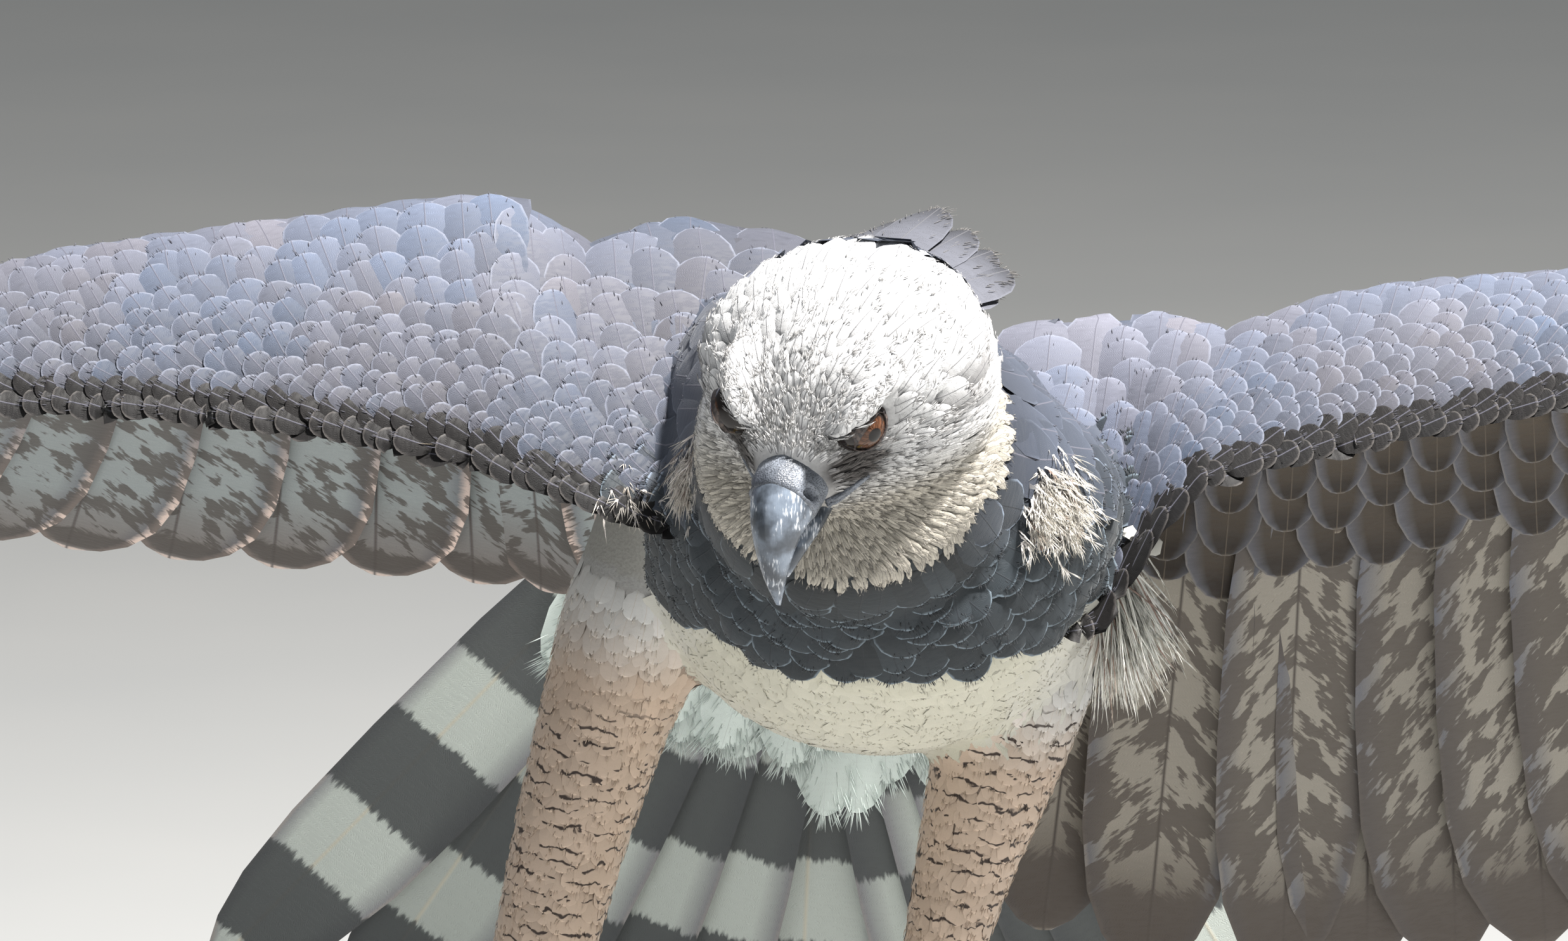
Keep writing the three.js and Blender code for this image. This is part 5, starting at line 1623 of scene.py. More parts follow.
@dataclass
class BodyCoat:
    """The feathers of the trunk, the neck and the thighs."""

    def patch(
        self, name: str, inside: Callable[[Array], Array], gap: float, tries: int, long: float, half: float,
        rise: float, outline: Outline, material: Material, slot: str, columns: int = 3, vary: float = 0.06,
        swing: float = 7, hairs: tuple = (), rim: float = 1.4, thick: float = 0.3, dark: float = 0.75,
        camber: float = 0.14
    ) -> None:
        """One kind of feather over one region.

        Args:
            name: of the piece.
            inside: the region.
            gap: between roots.
            tries: random places drawn.
            long: of a feather.
            half: its half width.
            rise: of its tip off the skin.
            outline: its shape.
            material: its finish.
            slot: the record's slot.
            columns: points across it.
            vary: spread of the tint.
            swing: spread of the lie, in degrees.
            hairs: arguments of the fringe, none where empty.
            rim: how much paler the rim is than the feather.
            thick: half its thickness.
            dark: the share of its colour at the root, a painted shade where the feathers overlap.
            camber: drop of its edges as a share of the half width.
        """
        roots = SKIN.scatter(inside, lambda p: np.full(len(p), gap), tries)
        length = long * CHANCE.uniform(0.85, 1.15, len(roots))
        centre, out = SKIN.lay(roots, length, np.full(len(roots), rise), outline, swing)
        calm = np.sum(out[:, 1:] * out[:, :-1], axis=-1).min(axis=1) > 0.8
        centre, out, roots = centre[calm], out[calm], roots[calm]
        colour = Regions.colour(roots)
        # The roots are darkened by dark: painted shade under the overlapping feathers.
        tint = tinted(colour, len(outline.at), dark, tip=1.1, vary=vary)
        wide = half * CHANCE.uniform(0.88, 1.12, (len(roots), 1)) * outline.wide
        plumes = Plumes(centre, out, wide, tint, np.clip(colour * rim + 0.02, 0, 0.9), Skin.unwrap(roots))
        plumes.build(name, material, columns, camber, thick, slot=slot)
        if hairs:
            fringe(plumes, *hairs).build(f"{name}_barbs", material, columns=2, slot=slot)

    def make(self) -> None:
        """Builds the body's coat."""
        slate = PlumeFinish(
            "slate_plume", barb_gap=1.0, barb_depth=0.18, shaft_width=0.5, shaft=(0.12, 0.12, 0.15),
            rim_width=1.1, rim_strength=0.6
        ).material()
        collar = PlumeFinish(
            "collar_plume", barb_gap=0.9, barb_depth=0.3, shaft_width=0.4, shaft=(0.02, 0.024, 0.03),
            rim_width=0.9, rim_strength=0.8, mottle=0.4
        ).material()
        cream = PlumeFinish(
            "belly_plume", barb_gap=1.1, barb_depth=0.1, shaft_width=0.12, shaft=(0.6, 0.57, 0.48),
            rim_width=1.0, rim_strength=0.15, mottle=0.1, sheen=0.3, bump=0.2
        ).material()
        barred = ChevronFinish(
            "thigh_plume", barb_gap=0.8, barb_depth=0.12, shaft_width=0.1, shaft=(0.5, 0.4, 0.3),
            rim_width=0.5, rim_strength=0.15, mottle=0.12, bump=0.2
        ).material()

        def slate_at(p: Array) -> Array:
            """Whether points lie in the slate of the back and the collar."""
            colour = Regions.colour(p)
            return (colour[:, 0] < 0.3) & ~Regions.on_head(p) & ~Regions.on_arm(p) & ~Regions.on_thigh(p)

        def dark_at(p: Array) -> Array:
            """Whether points lie on the collar."""
            return slate_at(p) & (Regions.colour(p)[:, 0] < 0.052)

        def pale_at(p: Array) -> Array:
            """Whether points lie on the cream underparts."""
            return (Regions.colour(p)[:, 0] > 0.3) & ~Regions.on_head(p) & ~Regions.on_arm(p)

        def vent_at(p: Array) -> Array:
            """Whether points lie behind the legs."""
            return pale_at(p) & (Pose.to_trunk(p)[:, 1] > 185) & ~Regions.on_thigh(p)

        self.patch(
            "mantle_plumes", lambda p: slate_at(p) & ~dark_at(p), gap=11.5, tries=9000, long=44, half=15.5,
            rise=4.0, outline=Outline.BROAD, material=slate, slot="body_feather", columns=5, vary=0.07,
            hairs=(6, (1.5, 3.5), 0.2, 0.3), dark=0.5, camber=0.08
        )
        self.patch(
            "collar_plumes", dark_at, gap=7.6, tries=14000, long=28, half=11.5, rise=4.5,
            outline=Outline.BROAD, material=collar, slot="collar_feather", columns=5, vary=0.16,
            hairs=(14, (1.5, 3.5), 0.2, 0.4), rim=5.5, dark=0.35
        )
        self.patch(
            "belly_plumes", lambda p: pale_at(p) & ~Regions.on_thigh(p) & ~vent_at(p), gap=7.0, tries=14000,
            long=30, half=9, rise=0.3, outline=Outline.ROUND, material=cream, slot="body_feather",
            columns=3, vary=0.02, hairs=(4, (3, 6), 0.2, 0.25), rim=1.0, thick=0.08, dark=0.95, camber=0.02
        )
        self.patch(
            "thigh_plumes", Regions.on_thigh, gap=5.0, tries=14000, long=16, half=5.8, rise=1.2,
            outline=Outline.ROUND, material=barred, slot="thigh_feather", columns=3, vary=0.04,
            hairs=(4, (2, 4), 0.2, 0.2), rim=1.05, thick=0.15, dark=0.9, camber=0.08
        )
        self.patch(
            "vent_plumes", vent_at, gap=9.0, tries=5000, long=58, half=12, rise=8.0, outline=Outline.ROUND,
            material=cream, slot="body_feather", columns=3, vary=0.04, swing=12,
            hairs=(26, (6, 16), 0.3, 0.5, 0.3), rim=1.1
        )
        self.tufts(cream)

    def tufts(self, material: Material) -> None:
        """The loose white tufts beside the neck, in the wing pits and before the left wing."""
        sets = []
        for spot, way, spread, count, long, colour in (
            (vec(-106, -62, -26), vec(0.1, -0.6, -0.55), 12, 420, 11, (0.78, 0.72, 0.7)),
            (vec(54, -74, -40), vec(0.3, -0.6, -0.55), 11, 460, 12, (0.8, 0.77, 0.76)),
            (vec(74, 12, -84), vec(0.12, -0.05, -1), 10, 520, 44, (0.86, 0.87, 0.84)),
        ):
            near, out = SKIN.snap(spot + CHANCE.normal(0, spread * 0.6, (count, 3)))
            way = unit(way + CHANCE.normal(0, 0.26, (count, 3)) + out * 0.15)
            length = long * CHANCE.uniform(0.6, 1.1, count)
            t = Outline.POINTED.at
            centre = bowed(near, way, vec(0, 0, 1), length, t, length * 0.12)
            rust = CHANCE.random((count, 1)) < 0.12
            tone = np.where(rust, vec(0.3, 0.2, 0.17), vec(*colour))
            sets.append(
                Plumes(centre, np.repeat(out[:, None], len(t), axis=1),
                1.1 * np.outer(np.ones(count), Outline.POINTED.wide),
                tinted(tone, len(t), root=0.8, tip=1.15, vary=0.1), tone * 1.1, Skin.unwrap(near))
            )
        tufts = sets[0].joined(sets[1]).joined(sets[2])
        tufts.build("loose_tufts", material, columns=3, camber=0.2, thick=0.3)
        fringe(
            tufts, per=5, long=(4, 10), half=0.2, open_out=0.6, start=0.2
        ).build("tuft_barbs", material, columns=2)


@dataclass
class WingCoat:
    """The feathers of one wing: coverts over and under the arm, flight feathers, and the thumb's tuft."""

    wing: Wing
    under_ground: Colour
    under_tip: Colour
    under_rim: Colour
    # inner_shade: painted shade on the inner coverts by the body below 1, painted light above 1.
    inner_shade: float
    tertials: tuple = (3, 96, 292, 74)
    secondaries: tuple = (8, 338, 80)
    primaries: tuple = (350, 368, 388, 410, 432, 448, 452, 436, 392, 320)
    upper_rows: tuple = (
        (-1, 15, 6.4), (4, 16, 6.4), (9, 17, 6.8), (15, 19, 7.2), (21, 21, 7.8), (27, 23, 8.4), (34, 25, 9),
        (41, 28, 9.8), (49, 31, 10.6), (57, 34, 11.4), (66, 37, 12.4), (76, 40, 13.2), (87, 44, 14.4),
        (99, 48, 15.6), (112, 54, 17), (127, 62, 19), (143, 70, 21)
    )
    under_rows: tuple = (
        (3, 12, 5), (9, 14, 5.5), (17, 17, 6.5), (26, 20, 7.5), (37, 26, 9), (50, 40, 10.5), (66, 60, 12.5),
        (84, 84, 15)
    )

    def surface(self, reach: Array, s: Array, upper: bool) -> tuple[Array, Array]:
        """Places and outward directions on the arm at reaches and distances from the leading edge."""
        def at(r: Array, d: Array) -> Array:
            """The places at reaches and distances."""
            return along_line(self.wing.line(r, upper), d[:, None])[:, 0]

        place = at(reach, s)
        chordwise = at(reach, s + 1.5) - at(reach, s - 1.5 + np.maximum(1.5 - s, 0))
        spanwise = (at(reach + 3, s) - at(reach - 3, s)) * self.wing.side
        out = square(spanwise, chordwise) * (1 if upper else -1)
        return place, out

    def row(
        self, s0: float, long: float, half: float, upper: bool, shift: float, from_reach: float,
        outline: Outline
    ) -> tuple:
        """One row of coverts along the arm.

        Args:
            s0: distance of its roots from the leading edge.
            long: of the feathers.
            half: their half width.
            upper: over or under the arm.
            shift: offset of the row, in steps.
            from_reach: where it starts.
            outline: the feathers' shape.

        Returns:
            The centre lines, the outward directions, the half widths and the reaches.
        """
        step = half * 1.22
        reach = np.arange(from_reach + shift * step, self.wing.wrist + 4, step)
        n = len(reach)
        reach = reach + CHANCE.normal(0, step * 0.08, n)
        t = outline.at
        lean = math.radians(
            float(np.interp(s0, [-2, 6, 20, 50, 90], [84, 64, 40, 20, 8] if upper else [80, 50, 30, 16, 8]))
        )
        lean = lean + np.radians(CHANCE.normal(0, 5, n))
        length = long * CHANCE.uniform(0.88, 1.12, n)
        s = s0 + CHANCE.normal(0, 1.0, n)[:, None] + np.outer(length * np.cos(lean), t)
        r = reach[:, None] + np.outer(length * np.sin(lean), t)
        place, out = self.surface(np.minimum(r, self.wing.wrist + 12).ravel(), s.ravel(), upper)
        place, out = place.reshape(n, -1, 3), out.reshape(n, -1, 3)
        height = -0.6 + (2.2 + half * 0.13) * t
        wide = half * CHANCE.uniform(0.92, 1.1, (n, 1)) * outline.wide
        return place + out * height[None, :, None], out, wide, reach

    def coverts(self, upper: bool) -> Plumes:
        """All rows of coverts over or under the arm."""
        made = None
        rows = self.upper_rows if upper else self.under_rows
        for i, (s0, long, half) in enumerate(rows):
            centre, out, wide, reach = self.row(
                s0, long, half, upper, 0.5 * (i % 2), 52 + max(40 - s0, 0) * 0.4, Outline.BROAD
            )
            n = len(centre)
            if upper:
                front = s0 < 8
                back_tone = vec(0.15, 0.165, 0.22) * (0.5 + 0.5 * min(s0 / 60, 1))
                colour = vec(0.005, 0.004, 0.0045) if front else back_tone
                rim = (
                    vec(0.12, 0.11, 0.105) if s0 < 0 else vec(0.02, 0.017, 0.018)
                ) if front else vec(0.25, 0.27, 0.34)
            else:
                far = s0 > 40
                colour = vec(0.13, 0.105, 0.085) if far else vec(0.4, 0.35, 0.27)
                rim = vec(0.4, 0.36, 0.28) if far else vec(0.5, 0.46, 0.38)
            # Roots at 0.45 of the tint: painted shade under the overlapping row.
            tint = tinted(np.tile(colour, (n, 1)), centre.shape[1], root=0.45, tip=1.12, vary=0.07)
            warm = np.sin(reach / 31 + s0 / 17 + np.sin(reach / 13)) * 0.05 + CHANCE.normal(0, 0.02, n)
            tint = tint * (1 + warm[:, None, None] * vec(1.6, 0.2, -1.0))
            # Painted shade on the coverts near the body where inner_shade is below 1; painted light where
            # it is above 1.
            tint = tint * np.interp(reach, [60, 190], [self.inner_shade, 1])[:, None, None]
            patch = np.stack(
                [np.clip((reach - 40) / 420, 0, 1) * 0.94 + 0.03, np.full(n, 0.04 + 0.92 * i / len(rows))],
                axis=-1
            )
            one = Plumes(centre, out, wide, tint, np.tile(rim, (n, 1)), patch)
            made = one if made is None else made.joined(one)
        return made

    def flight(self) -> tuple[Plumes, Array]:
        """Tertials, secondaries and primaries.

        Returns:
            The feathers, and the lean of each vane.
        """
        wing = self.wing
        count, start, long, width = self.tertials
        inner = np.linspace(start, wing.elbow - 12, count)
        many, length, broad = self.secondaries
        outer = np.linspace(wing.elbow + 17, wing.wrist - 8, many)
        hand = ((np.arange(10) + 0.6) / 10) ** 0.9
        reach = np.concatenate([inner, outer, np.zeros(10)])
        share = np.concatenate([np.zeros(count + many), hand])
        lengths = np.concatenate([long + (inner - start) * 0.4, np.full(many, length), self.primaries])
        widths = np.concatenate([np.full(count, width), np.full(many, broad), 57 - np.arange(10) * 1.2])
        leans = np.concatenate([np.full(count, 0.5), np.full(many, 0.42), 0.4 - np.arange(10) * 0.012])
        depth = np.where(share > 0, 0, np.where(reach < wing.elbow, 17, 11))[:, None]
        begin = np.where(share > 0, 2, 12)[:, None]
        roll = np.where(share > 0, 10, 8)
        return self.vanes(reach, share, depth, begin, lengths, widths, roll, lengths * 0.05), (
            leans if wing.side > 0 else 1 - leans)

    def vanes(
        self, reach: Array, share: Array, depth: Array, begin: Array, lengths: Array, widths: Array,
        roll: Array, bend: Array, lift: float = 0.0, outline: Outline = Outline.LONG
    ) -> Plumes:
        """Long feathers whose roots lie along the wing's bones.

        Args:
            reach: each root's distance out from the shoulder, along the arm.
            share: each root's share of the way along the hand.
            depth: how far each root lies below the wing's ridge.
            begin: how far down its line each feather begins.
            lengths: each feather's length.
            widths: each feather's full width.
            roll: each feather's turn about its line, in degrees.
            bend: how far each feather bows out of its line.
            lift: the feathers' rise off the wing, as a share of their run.
            outline: the feathers' outline.
        """
        wing = self.wing
        way = wing.flow(reach, share)
        over = wing.over(reach, share, 0)
        far = wing.over(reach, share, lengths)
        root = wing.root(reach, share) + way * begin - over * depth
        way = unit(way + over * lift)
        t = outline.at
        normal = over[:, None] * (1 - t)[None, :, None] + far[:, None] * t[None, :, None]
        across = square(way[:, None], normal)
        across = spin(
            across, np.repeat(way[:, None], len(t), axis=1),
            np.radians(-wing.side * roll)[:, None] * np.ones(len(t))
        )
        up = np.cross(across, np.repeat(way[:, None], len(t), axis=1))
        centre = bowed(root, way, up, lengths, t, bend)
        n = len(reach)
        top = tinted(np.tile(vec(0.11, 0.115, 0.14), (n, 1)), len(t), root=1.1, tip=0.85, vary=0.06)
        under = np.tile(vec(*self.under_ground), (n, 1))[:, None] * (1 + CHANCE.normal(0, 0.05, (n, 1, 1)))
        fade = np.interp(t, [0, 0.8, 0.9, 1], [0, 0, 1, 1])[None, :, None]
        under = under * (1 - fade) + vec(*self.under_tip) * fade
        place = np.stack([0.03 + 0.94 * np.arange(n) / n, np.full(n, 0.5)], axis=-1)
        return Plumes(
            centre, up, np.outer(widths / 2, outline.wide), top, np.tile(vec(*self.under_rim), (n, 1)),
            place, under
        )

    def make(self) -> None:
        """Builds the wing's coat."""
        name = self.wing.name
        finish = wing_finishes()
        upper, under = self.coverts(True), self.coverts(False)
        upper.build(
            f"upper_coverts_{name}", finish["covert"], columns=5, camber=0.09, thick=0.22,
            slot="wing_feather"
        )
        fringe(upper, per=4, long=(1.5, 3.5), half=0.2, open_out=0.4, start=0.5).build(
            f"upper_barbs_{name}", finish["covert"], columns=2, slot="wing_feather"
        )
        under.build(
            f"under_coverts_{name}", finish["lining"], columns=5, camber=0.2, thick=0.3, slot="wing_feather"
        )
        flight, lean = self.flight()
        big = np.tile(vec(0.03, 0.9), (len(lean), 1))
        flight.build(
            f"flight_{name}", finish[name], columns=7, camber=0.07, thick=0.8, patch=big,
            slot="wing_feather", lean=lean
        )
        wing = self.wing
        spots = np.linspace(wing.elbow - 80, wing.wrist - 8, 16)
        zero = np.zeros(16)
        for tag, depth, lift, long, wide in (
            ("over", -4.0, -0.03, 149, 44), ("under", 22.0, 0.01, 108, 40), ("median", 28.0, 0.01, 84, 32),
            ("lesser", 32.0, 0.01, 64, 26)
        ):
            rows = self.vanes(
                spots, zero, np.full((16, 1), depth), np.full((16, 1), 12.0),
                long * CHANCE.uniform(0.9, 1.1, 16), np.full(16, wide + 0.0), np.full(16, 8),
                np.full(16, 2.0), lift, Outline.BROAD
            )
            rows.under = rows.under * vec(0.25, 0.21, 0.175)
            rows.build(
                f"greater_{tag}_{name}", finish["covert" if tag == "over" else "lining"], columns=5,
                camber=0.1, thick=0.4, slot="wing_feather"
            )
        hand = ((np.arange(14) + 0.4) / 14) ** 0.9
        for tag, depth, size in (("over", -11.0, 0.34), ("under", 11.0, 0.3), ("lesser", -16.0, 0.16)):
            rows = self.vanes(
                np.zeros(14), hand, np.full((14, 1), depth), np.full((14, 1), 2.0),
                420 * size * (1 - 0.3 * hand), np.full(14, 40.0) * (0.6 if tag == "lesser" else 1),
                np.full(14, 10), np.full(14, 2.0), -0.02, Outline.BROAD
            )
            rows.build(
                f"hand_{tag}_{name}", finish["lining" if tag == "under" else "covert"], columns=5,
                camber=0.12, thick=0.4, slot="wing_feather"
            )
        self.thumb(finish["covert"])

    def thumb(self, material: Material) -> None:
        """The stiff feathers of the thumb, over the wrist's leading edge."""
        wing = self.wing
        wrist, tip = wing.wrist_point(), vec(*wing.tip)
        i = np.arange(3)[:, None]
        root = wrist + (tip - wrist) * (0.12 + i * 0.06) + np.concatenate(
            [0 * i, -12 + i * 4, 6 + i * 3], axis=1
        )
        way = unit(unit(tip - wrist) + np.concatenate([0 * i, 0.12 + i * 0.2, 0 * i + 0.06], axis=1))
        t = Outline.BROAD.at
        up = square(np.cross(way, vec(0, -0.3, 1)), way)
        length = 120 - 14.0 * i
        centre = bowed(root, way, up[:, None], length[:, 0], t, vec(6, 6, 6))
        tint = tinted(np.tile(vec(0.1, 0.1, 0.12), (3, 1)), len(t))
        plumes = Plumes(
            centre, np.repeat(up[:, None], len(t), axis=1), np.outer(np.full(3, 13.0), Outline.BROAD.wide),
            tint, tint[:, 0] * 2, np.stack([vec(0.2, 0.5, 0.8), vec(0.5, 0.5, 0.5)], axis=-1)
        )
        plumes.build(f"thumb_{wing.name}", material, columns=5, camber=0.1, thick=0.5, slot="wing_feather")


@dataclass
class Tail:
    """The fanned tail with its coverts."""

    root_at: tuple = (-8, 322, -92)
    lean: float = 21.0
    twist: float = -3.0
    fan: tuple = (
        (-27.5, 410), (-19, 408), (-11.5, 408), (-6, 406), (0, 406), (9, 407), (22.5, 407), (26, 406),
        (29, 404), (32, 402), (35.5, 398), (40.5, 392)
    )
    width: float = 70.0
    step: float = 8.5

    def axes(self) -> tuple[Array, Array, Array, Array]:
        """The tail's axis, its right, the way out of its upper side, and its root."""
        lean = math.radians(self.lean)
        axis = Pose.body(vec(0, math.sin(lean), -math.cos(lean)))
        right = spin(Pose.body(vec(1, 0, 0)), axis, math.radians(-self.twist))
        over = square(right, axis)
        over = over if over[2] > 0 else -over
        return axis, right, over, Pose.body(vec(*self.root_at))

    def rump(self) -> Shell:
        """The flesh at the tail's root."""
        axis, right, over, root = self.axes()
        rings = [
            oval(root + axis * t, right, over, h, d, d) for t, h,
            d in ((-30, 34, 18), (0, 44, 20), (35, 50, 15), (70, 50, 9))
        ]
        return loft(np.array(rings), root - axis * 34, root + axis * 78)

    def vanes(
        self, roots: Array, ways: Array, over: Array, length: Array, half: Array, roll: Array, bend: Array,
        outline: Outline
    ) -> tuple[Array, Array, Array]:
        """Centre lines, outward directions and half widths of straight feathers."""
        t = outline.at
        across = spin(square(ways, over), ways, np.radians(roll))
        up = np.cross(across, ways)
        centre = bowed(roots, ways, up[:, None], length, t, bend)
        return centre, np.repeat(up[:, None], len(t), axis=1), np.outer(half, outline.wide)

    def make(self) -> None:
        """Builds the tail."""
        axis, right, over, root = self.axes()
        fan = np.array(self.fan, dtype=float)
        angle = np.radians(fan[:, 0])[:, None]
        ways = axis * np.cos(angle) + right * np.sin(angle)
        place = np.arange(12) - 5.5
        lift = np.where(np.arange(12) == 5, 5.5, 2 - np.abs(place) * 1.2)
        roots = root + right * (place * self.step)[:, None] + over * lift[:, None]
        roll = np.where(np.arange(12) == 5, 0, -np.sign(place) * np.minimum(4.5 + np.abs(place), 8))
        centre, out, half = self.vanes(
            roots, ways, over, fan[:, 1], np.full(12, self.width / 2), roll, np.full(12, -8.0), Outline.LONG
        )
        k = half.shape[1]
        top = tinted(np.tile(vec(0.24, 0.24, 0.26), (12, 1)), k, root=1, tip=1, vary=0.04)
        under = tinted(np.tile(vec(0.58, 0.63, 0.59), (12, 1)), k, root=1, tip=1, vary=0.04)
        spots = np.stack([0.04 + 0.92 * np.arange(12) / 12, np.full(12, 0.5)], axis=-1)
        feathers = Plumes(centre, out, half, top, np.tile(vec(0.5, 0.45, 0.4), (12, 1)), spots, under)
        banded = BandFinish("tail_plume", barb_gap=1.6, barb_slant=1.3, barb_depth=0.16, shaft_width=1.5,
                            shaft=(0.62, 0.6, 0.5), rim_width=1.5, rim_strength=0.5, mottle=0.15).material()
        feathers.build(
            "tail_vanes", banded, columns=7, camber=0.05, thick=0.8, patch=np.tile(vec(0.07, 0.9), (12, 1)),
            slot="tail_feather", lean=np.where(place < 0, 0.6, 0.4),
            shift=np.where((place > -4) & (place < 1), 52.0, 0.0)
        )
        white = PlumeFinish(
            "vent_plume", barb_gap=1.2, barb_depth=0.12, shaft_width=0.2, shaft=(0.6, 0.66, 0.64),
            rim_width=1.0, rim_strength=0.2, mottle=0.1, bump=0.2
        ).material()
        slate = PlumeFinish(
            "rump_plume", barb_gap=1.0, barb_depth=0.2, rim_width=1.4, rim_strength=0.7
        ).material()
        # The under coverts' colour is white with a cool green-blue cast of painted shade.
        for tag, side, count, long, colour, finish in (
            ("upper", 1, 16, 150, (0.2, 0.21, 0.26), slate),
            ("under", -1, 34, 190, (0.74, 0.83, 0.79), white)
        ):
            spread = np.linspace(-1, 1, count)
            tier = np.arange(count) % 2
            base = (root - axis * (8 + 22 * tier)[:, None] + right * (spread * 40)[:, None]
                    + over * (side * (15 + 3 * tier - np.abs(spread) * 4))[:, None])
            angle = np.radians(2 + spread * 26)[:, None]
            ways = unit(axis * np.cos(angle) + right * np.sin(angle) + over * side * 0.03)
            length = long * (1 - 0.12 * np.abs(spread)) * CHANCE.uniform(0.8, 1.05, count)
            centre, out, half = self.vanes(
                base, ways, over * side, length, np.full(count, 22.0), -spread * 10 * side, np.zeros(count),
                Outline.BROAD
            )
            tint = tinted(np.tile(vec(*colour), (count, 1)), half.shape[1], root=0.9, tip=1.05)
            plumes = Plumes(
                centre, out, half, tint, tint[:, 0] * 1.3,
                np.stack([0.5 + spread * 0.45, 0.2 + 0.3 * tier], axis=-1)
            )
            plumes.build(f"tail_{tag}", finish, columns=5, camber=0.15, thick=0.4, slot="tail_feather")
            fringe(plumes, per=70, long=(5, 14), half=0.3, open_out=0.5, start=0.35).build(
                f"tail_{tag}_barbs", finish, columns=2, slot="tail_feather"
            )


@dataclass
class Bill:
    """The bill, the cere and the corners of the mouth, in the head's middle plane."""

    culmen: tuple = ((46, 15), (58, 14.5), (70, 9), (80, -3), (85, -19), (84.5, -36))
    tomium: tuple = ((44, -11), (56, -12), (66, -14), (73, -20), (79, -30), (83.5, -37.5))
    half_width: tuple = (15.5, 14.5, 11.5, 8, 4.2, 1.0)
    lower_rows: tuple = (
        (40, -12, 12.5, 6), (52, -13.5, 11.5, 5.8), (62, -16, 9, 5), (69, -21, 6, 3.6),
        (74, -27.5, 2.6, 1.6)
    )
    cere_front: float = 0.24
    nostril: tuple = (56.5, 13.4, 5.0)

    def upper(self, start: float, end: float, steps: int, swell: float = 0.0) -> Array:
        """Rings of the upper half between two shares of its length.

        Args:
            start: the first ring's share of the length.
            end: the last ring's share of the length.
            steps: how many rings.
            swell: how far the rings stand out from the bill.
        """
        lines = np.array([self.culmen, self.tomium], dtype=float)
        lines = np.concatenate([lines, np.zeros((2, 6, 1))], axis=-1)
        fine = smooth_line(lines, 24)
        widths = smooth_line(
            np.array([[(w, i, 0) for i, w in enumerate(self.half_width)]], dtype=float), 24
        )[0, :, 0]
        at = np.linspace(start, end, steps) * (fine.shape[1] - 1)
        index = np.arange(fine.shape[1])
        top, low = (
            np.stack([np.interp(at, index, fine[i, :, k]) for k in (0, 1)], axis=-1) for i in (0, 1)
        )
        half = np.interp(at, index, widths)
        angle = np.arange(40) / 40 * 2 * math.pi
        c, s = np.cos(angle), np.sin(angle)
        rings = []
        for i in range(steps):
            centre = top[i] * 0.38 + low[i] * 0.62
            reach = np.where((s > 0)[:, None], top[i] - centre, low[i] - centre)
            plane = centre + reach * np.abs(s)[:, None] * (1 + swell / 14)
            side = np.sign(c) * np.abs(c) ** np.where(s > 0, 1.25, 0.7) * (half[i] + swell)
            rings.append(Pose.head(np.stack([plane[:, 0], side, plane[:, 1]], axis=-1)))
        return np.array(rings)

    def make(self) -> None:
        """Builds the bill."""
        horn, waxy = self.horn(), self.waxy()
        rings = self.upper(self.cere_front, end=1.0, steps=44)
        points, faces = loft(rings, rings[0].mean(axis=0), rings[-1].mean(axis=0))
        keep(list_mesh("bill_upper_horn", points, faces, ("bill_upper",)), horn)
        rings = self.upper(start=0.0, end=self.cere_front + 0.02, steps=40, swell=0.7)
        edge = np.interp(np.arange(40), [0, 34, 37, 39], [0.7, 0.7, 0.4, -0.3]) - 0.7
        middle = rings.mean(axis=1, keepdims=True)
        rings = rings + unit(rings - middle) * edge[:, None, None]
        for side in (-1, 1):
            place = Pose.head(vec(self.nostril[0], side * self.nostril[1], self.nostril[2]))
            away = np.linalg.norm(rings - place, axis=-1, keepdims=True)
            pit = np.clip(1 - (away / 3.1) ** 4, 0, 1)
            lip = np.exp(-((away - 3.6) / 0.8) ** 2) * 0.5
            rings = rings + unit(middle - rings) * (pit * 4.5 - lip)
        points, faces = loft(rings, middle[0, 0], middle[-1, 0])
        keep(list_mesh("cere_skin", points, faces, ("cere",)), waxy)
        right, up = Pose.head_way(0, 1, 0), Pose.head_way(0.35, 0, 1)
        rings = [
            oval(Pose.head(vec(a, 0, h - t)), right, up, w, t, t, square=(0.8, 0.8)) for a, h, w,
            t in fine_rows(self.lower_rows, 5)
        ]
        points, faces = loft(np.array(rings), rings[0].mean(axis=0), rings[-1].mean(axis=0))
        keep(list_mesh("bill_lower_horn", points, faces, ("bill_lower",)), horn)
        for name, side in (("right", -1), ("left", 1)):
            for tag, lift in (("upper", 1.25), ("lower", -1.35)):
                t = np.linspace(0, 1, 12)
                path = Pose.head(
                    np.stack([47 - 15 * t, side * (13.5 + 14 * t), -11.0 + 6 * t + lift * (1 - t * 0.8)],
                    axis=-1)
                )
                near, out = SKIN.snap(path)
                path = np.where((t > 0.15)[:, None], near + out * 1.1, path)
                points, faces = tube(path, 1.5 - 0.9 * t, Pose.head_way(0, 0, 1))
                keep(list_mesh(f"mouth_{tag}_{name}", points, faces), waxy)

    @staticmethod
    def horn() -> Material:
        """Polished slate horn with fine pale scratches, so pale that they also stand in for painted
        highlights.
        """
        material, t, shader = new_material("bill_horn")
        wear = use_group(t, wear_group(), Scale=260.0, Stretch=5.0)
        place = t.place()
        cloud = t.noise(place, 90.0, 4.0)
        colour = t.mix(t.step(cloud, 0.35, 0.65), (0.05, 0.06, 0.075), (0.2, 0.24, 0.3))
        # The very pale scratches are wear and also a painted highlight on the glossy horn.
        colour = t.mix(t.step(wear["Factor"], 0.27, 0.36), colour, (0.7, 0.73, 0.78))
        rough = t.math("MULTIPLY_ADD", wear["Factor"], 0.6, 0.14)
        dress(t, shader, colour, rough, wear["Height"], strength=0.25, distance=0.0003)
        return material

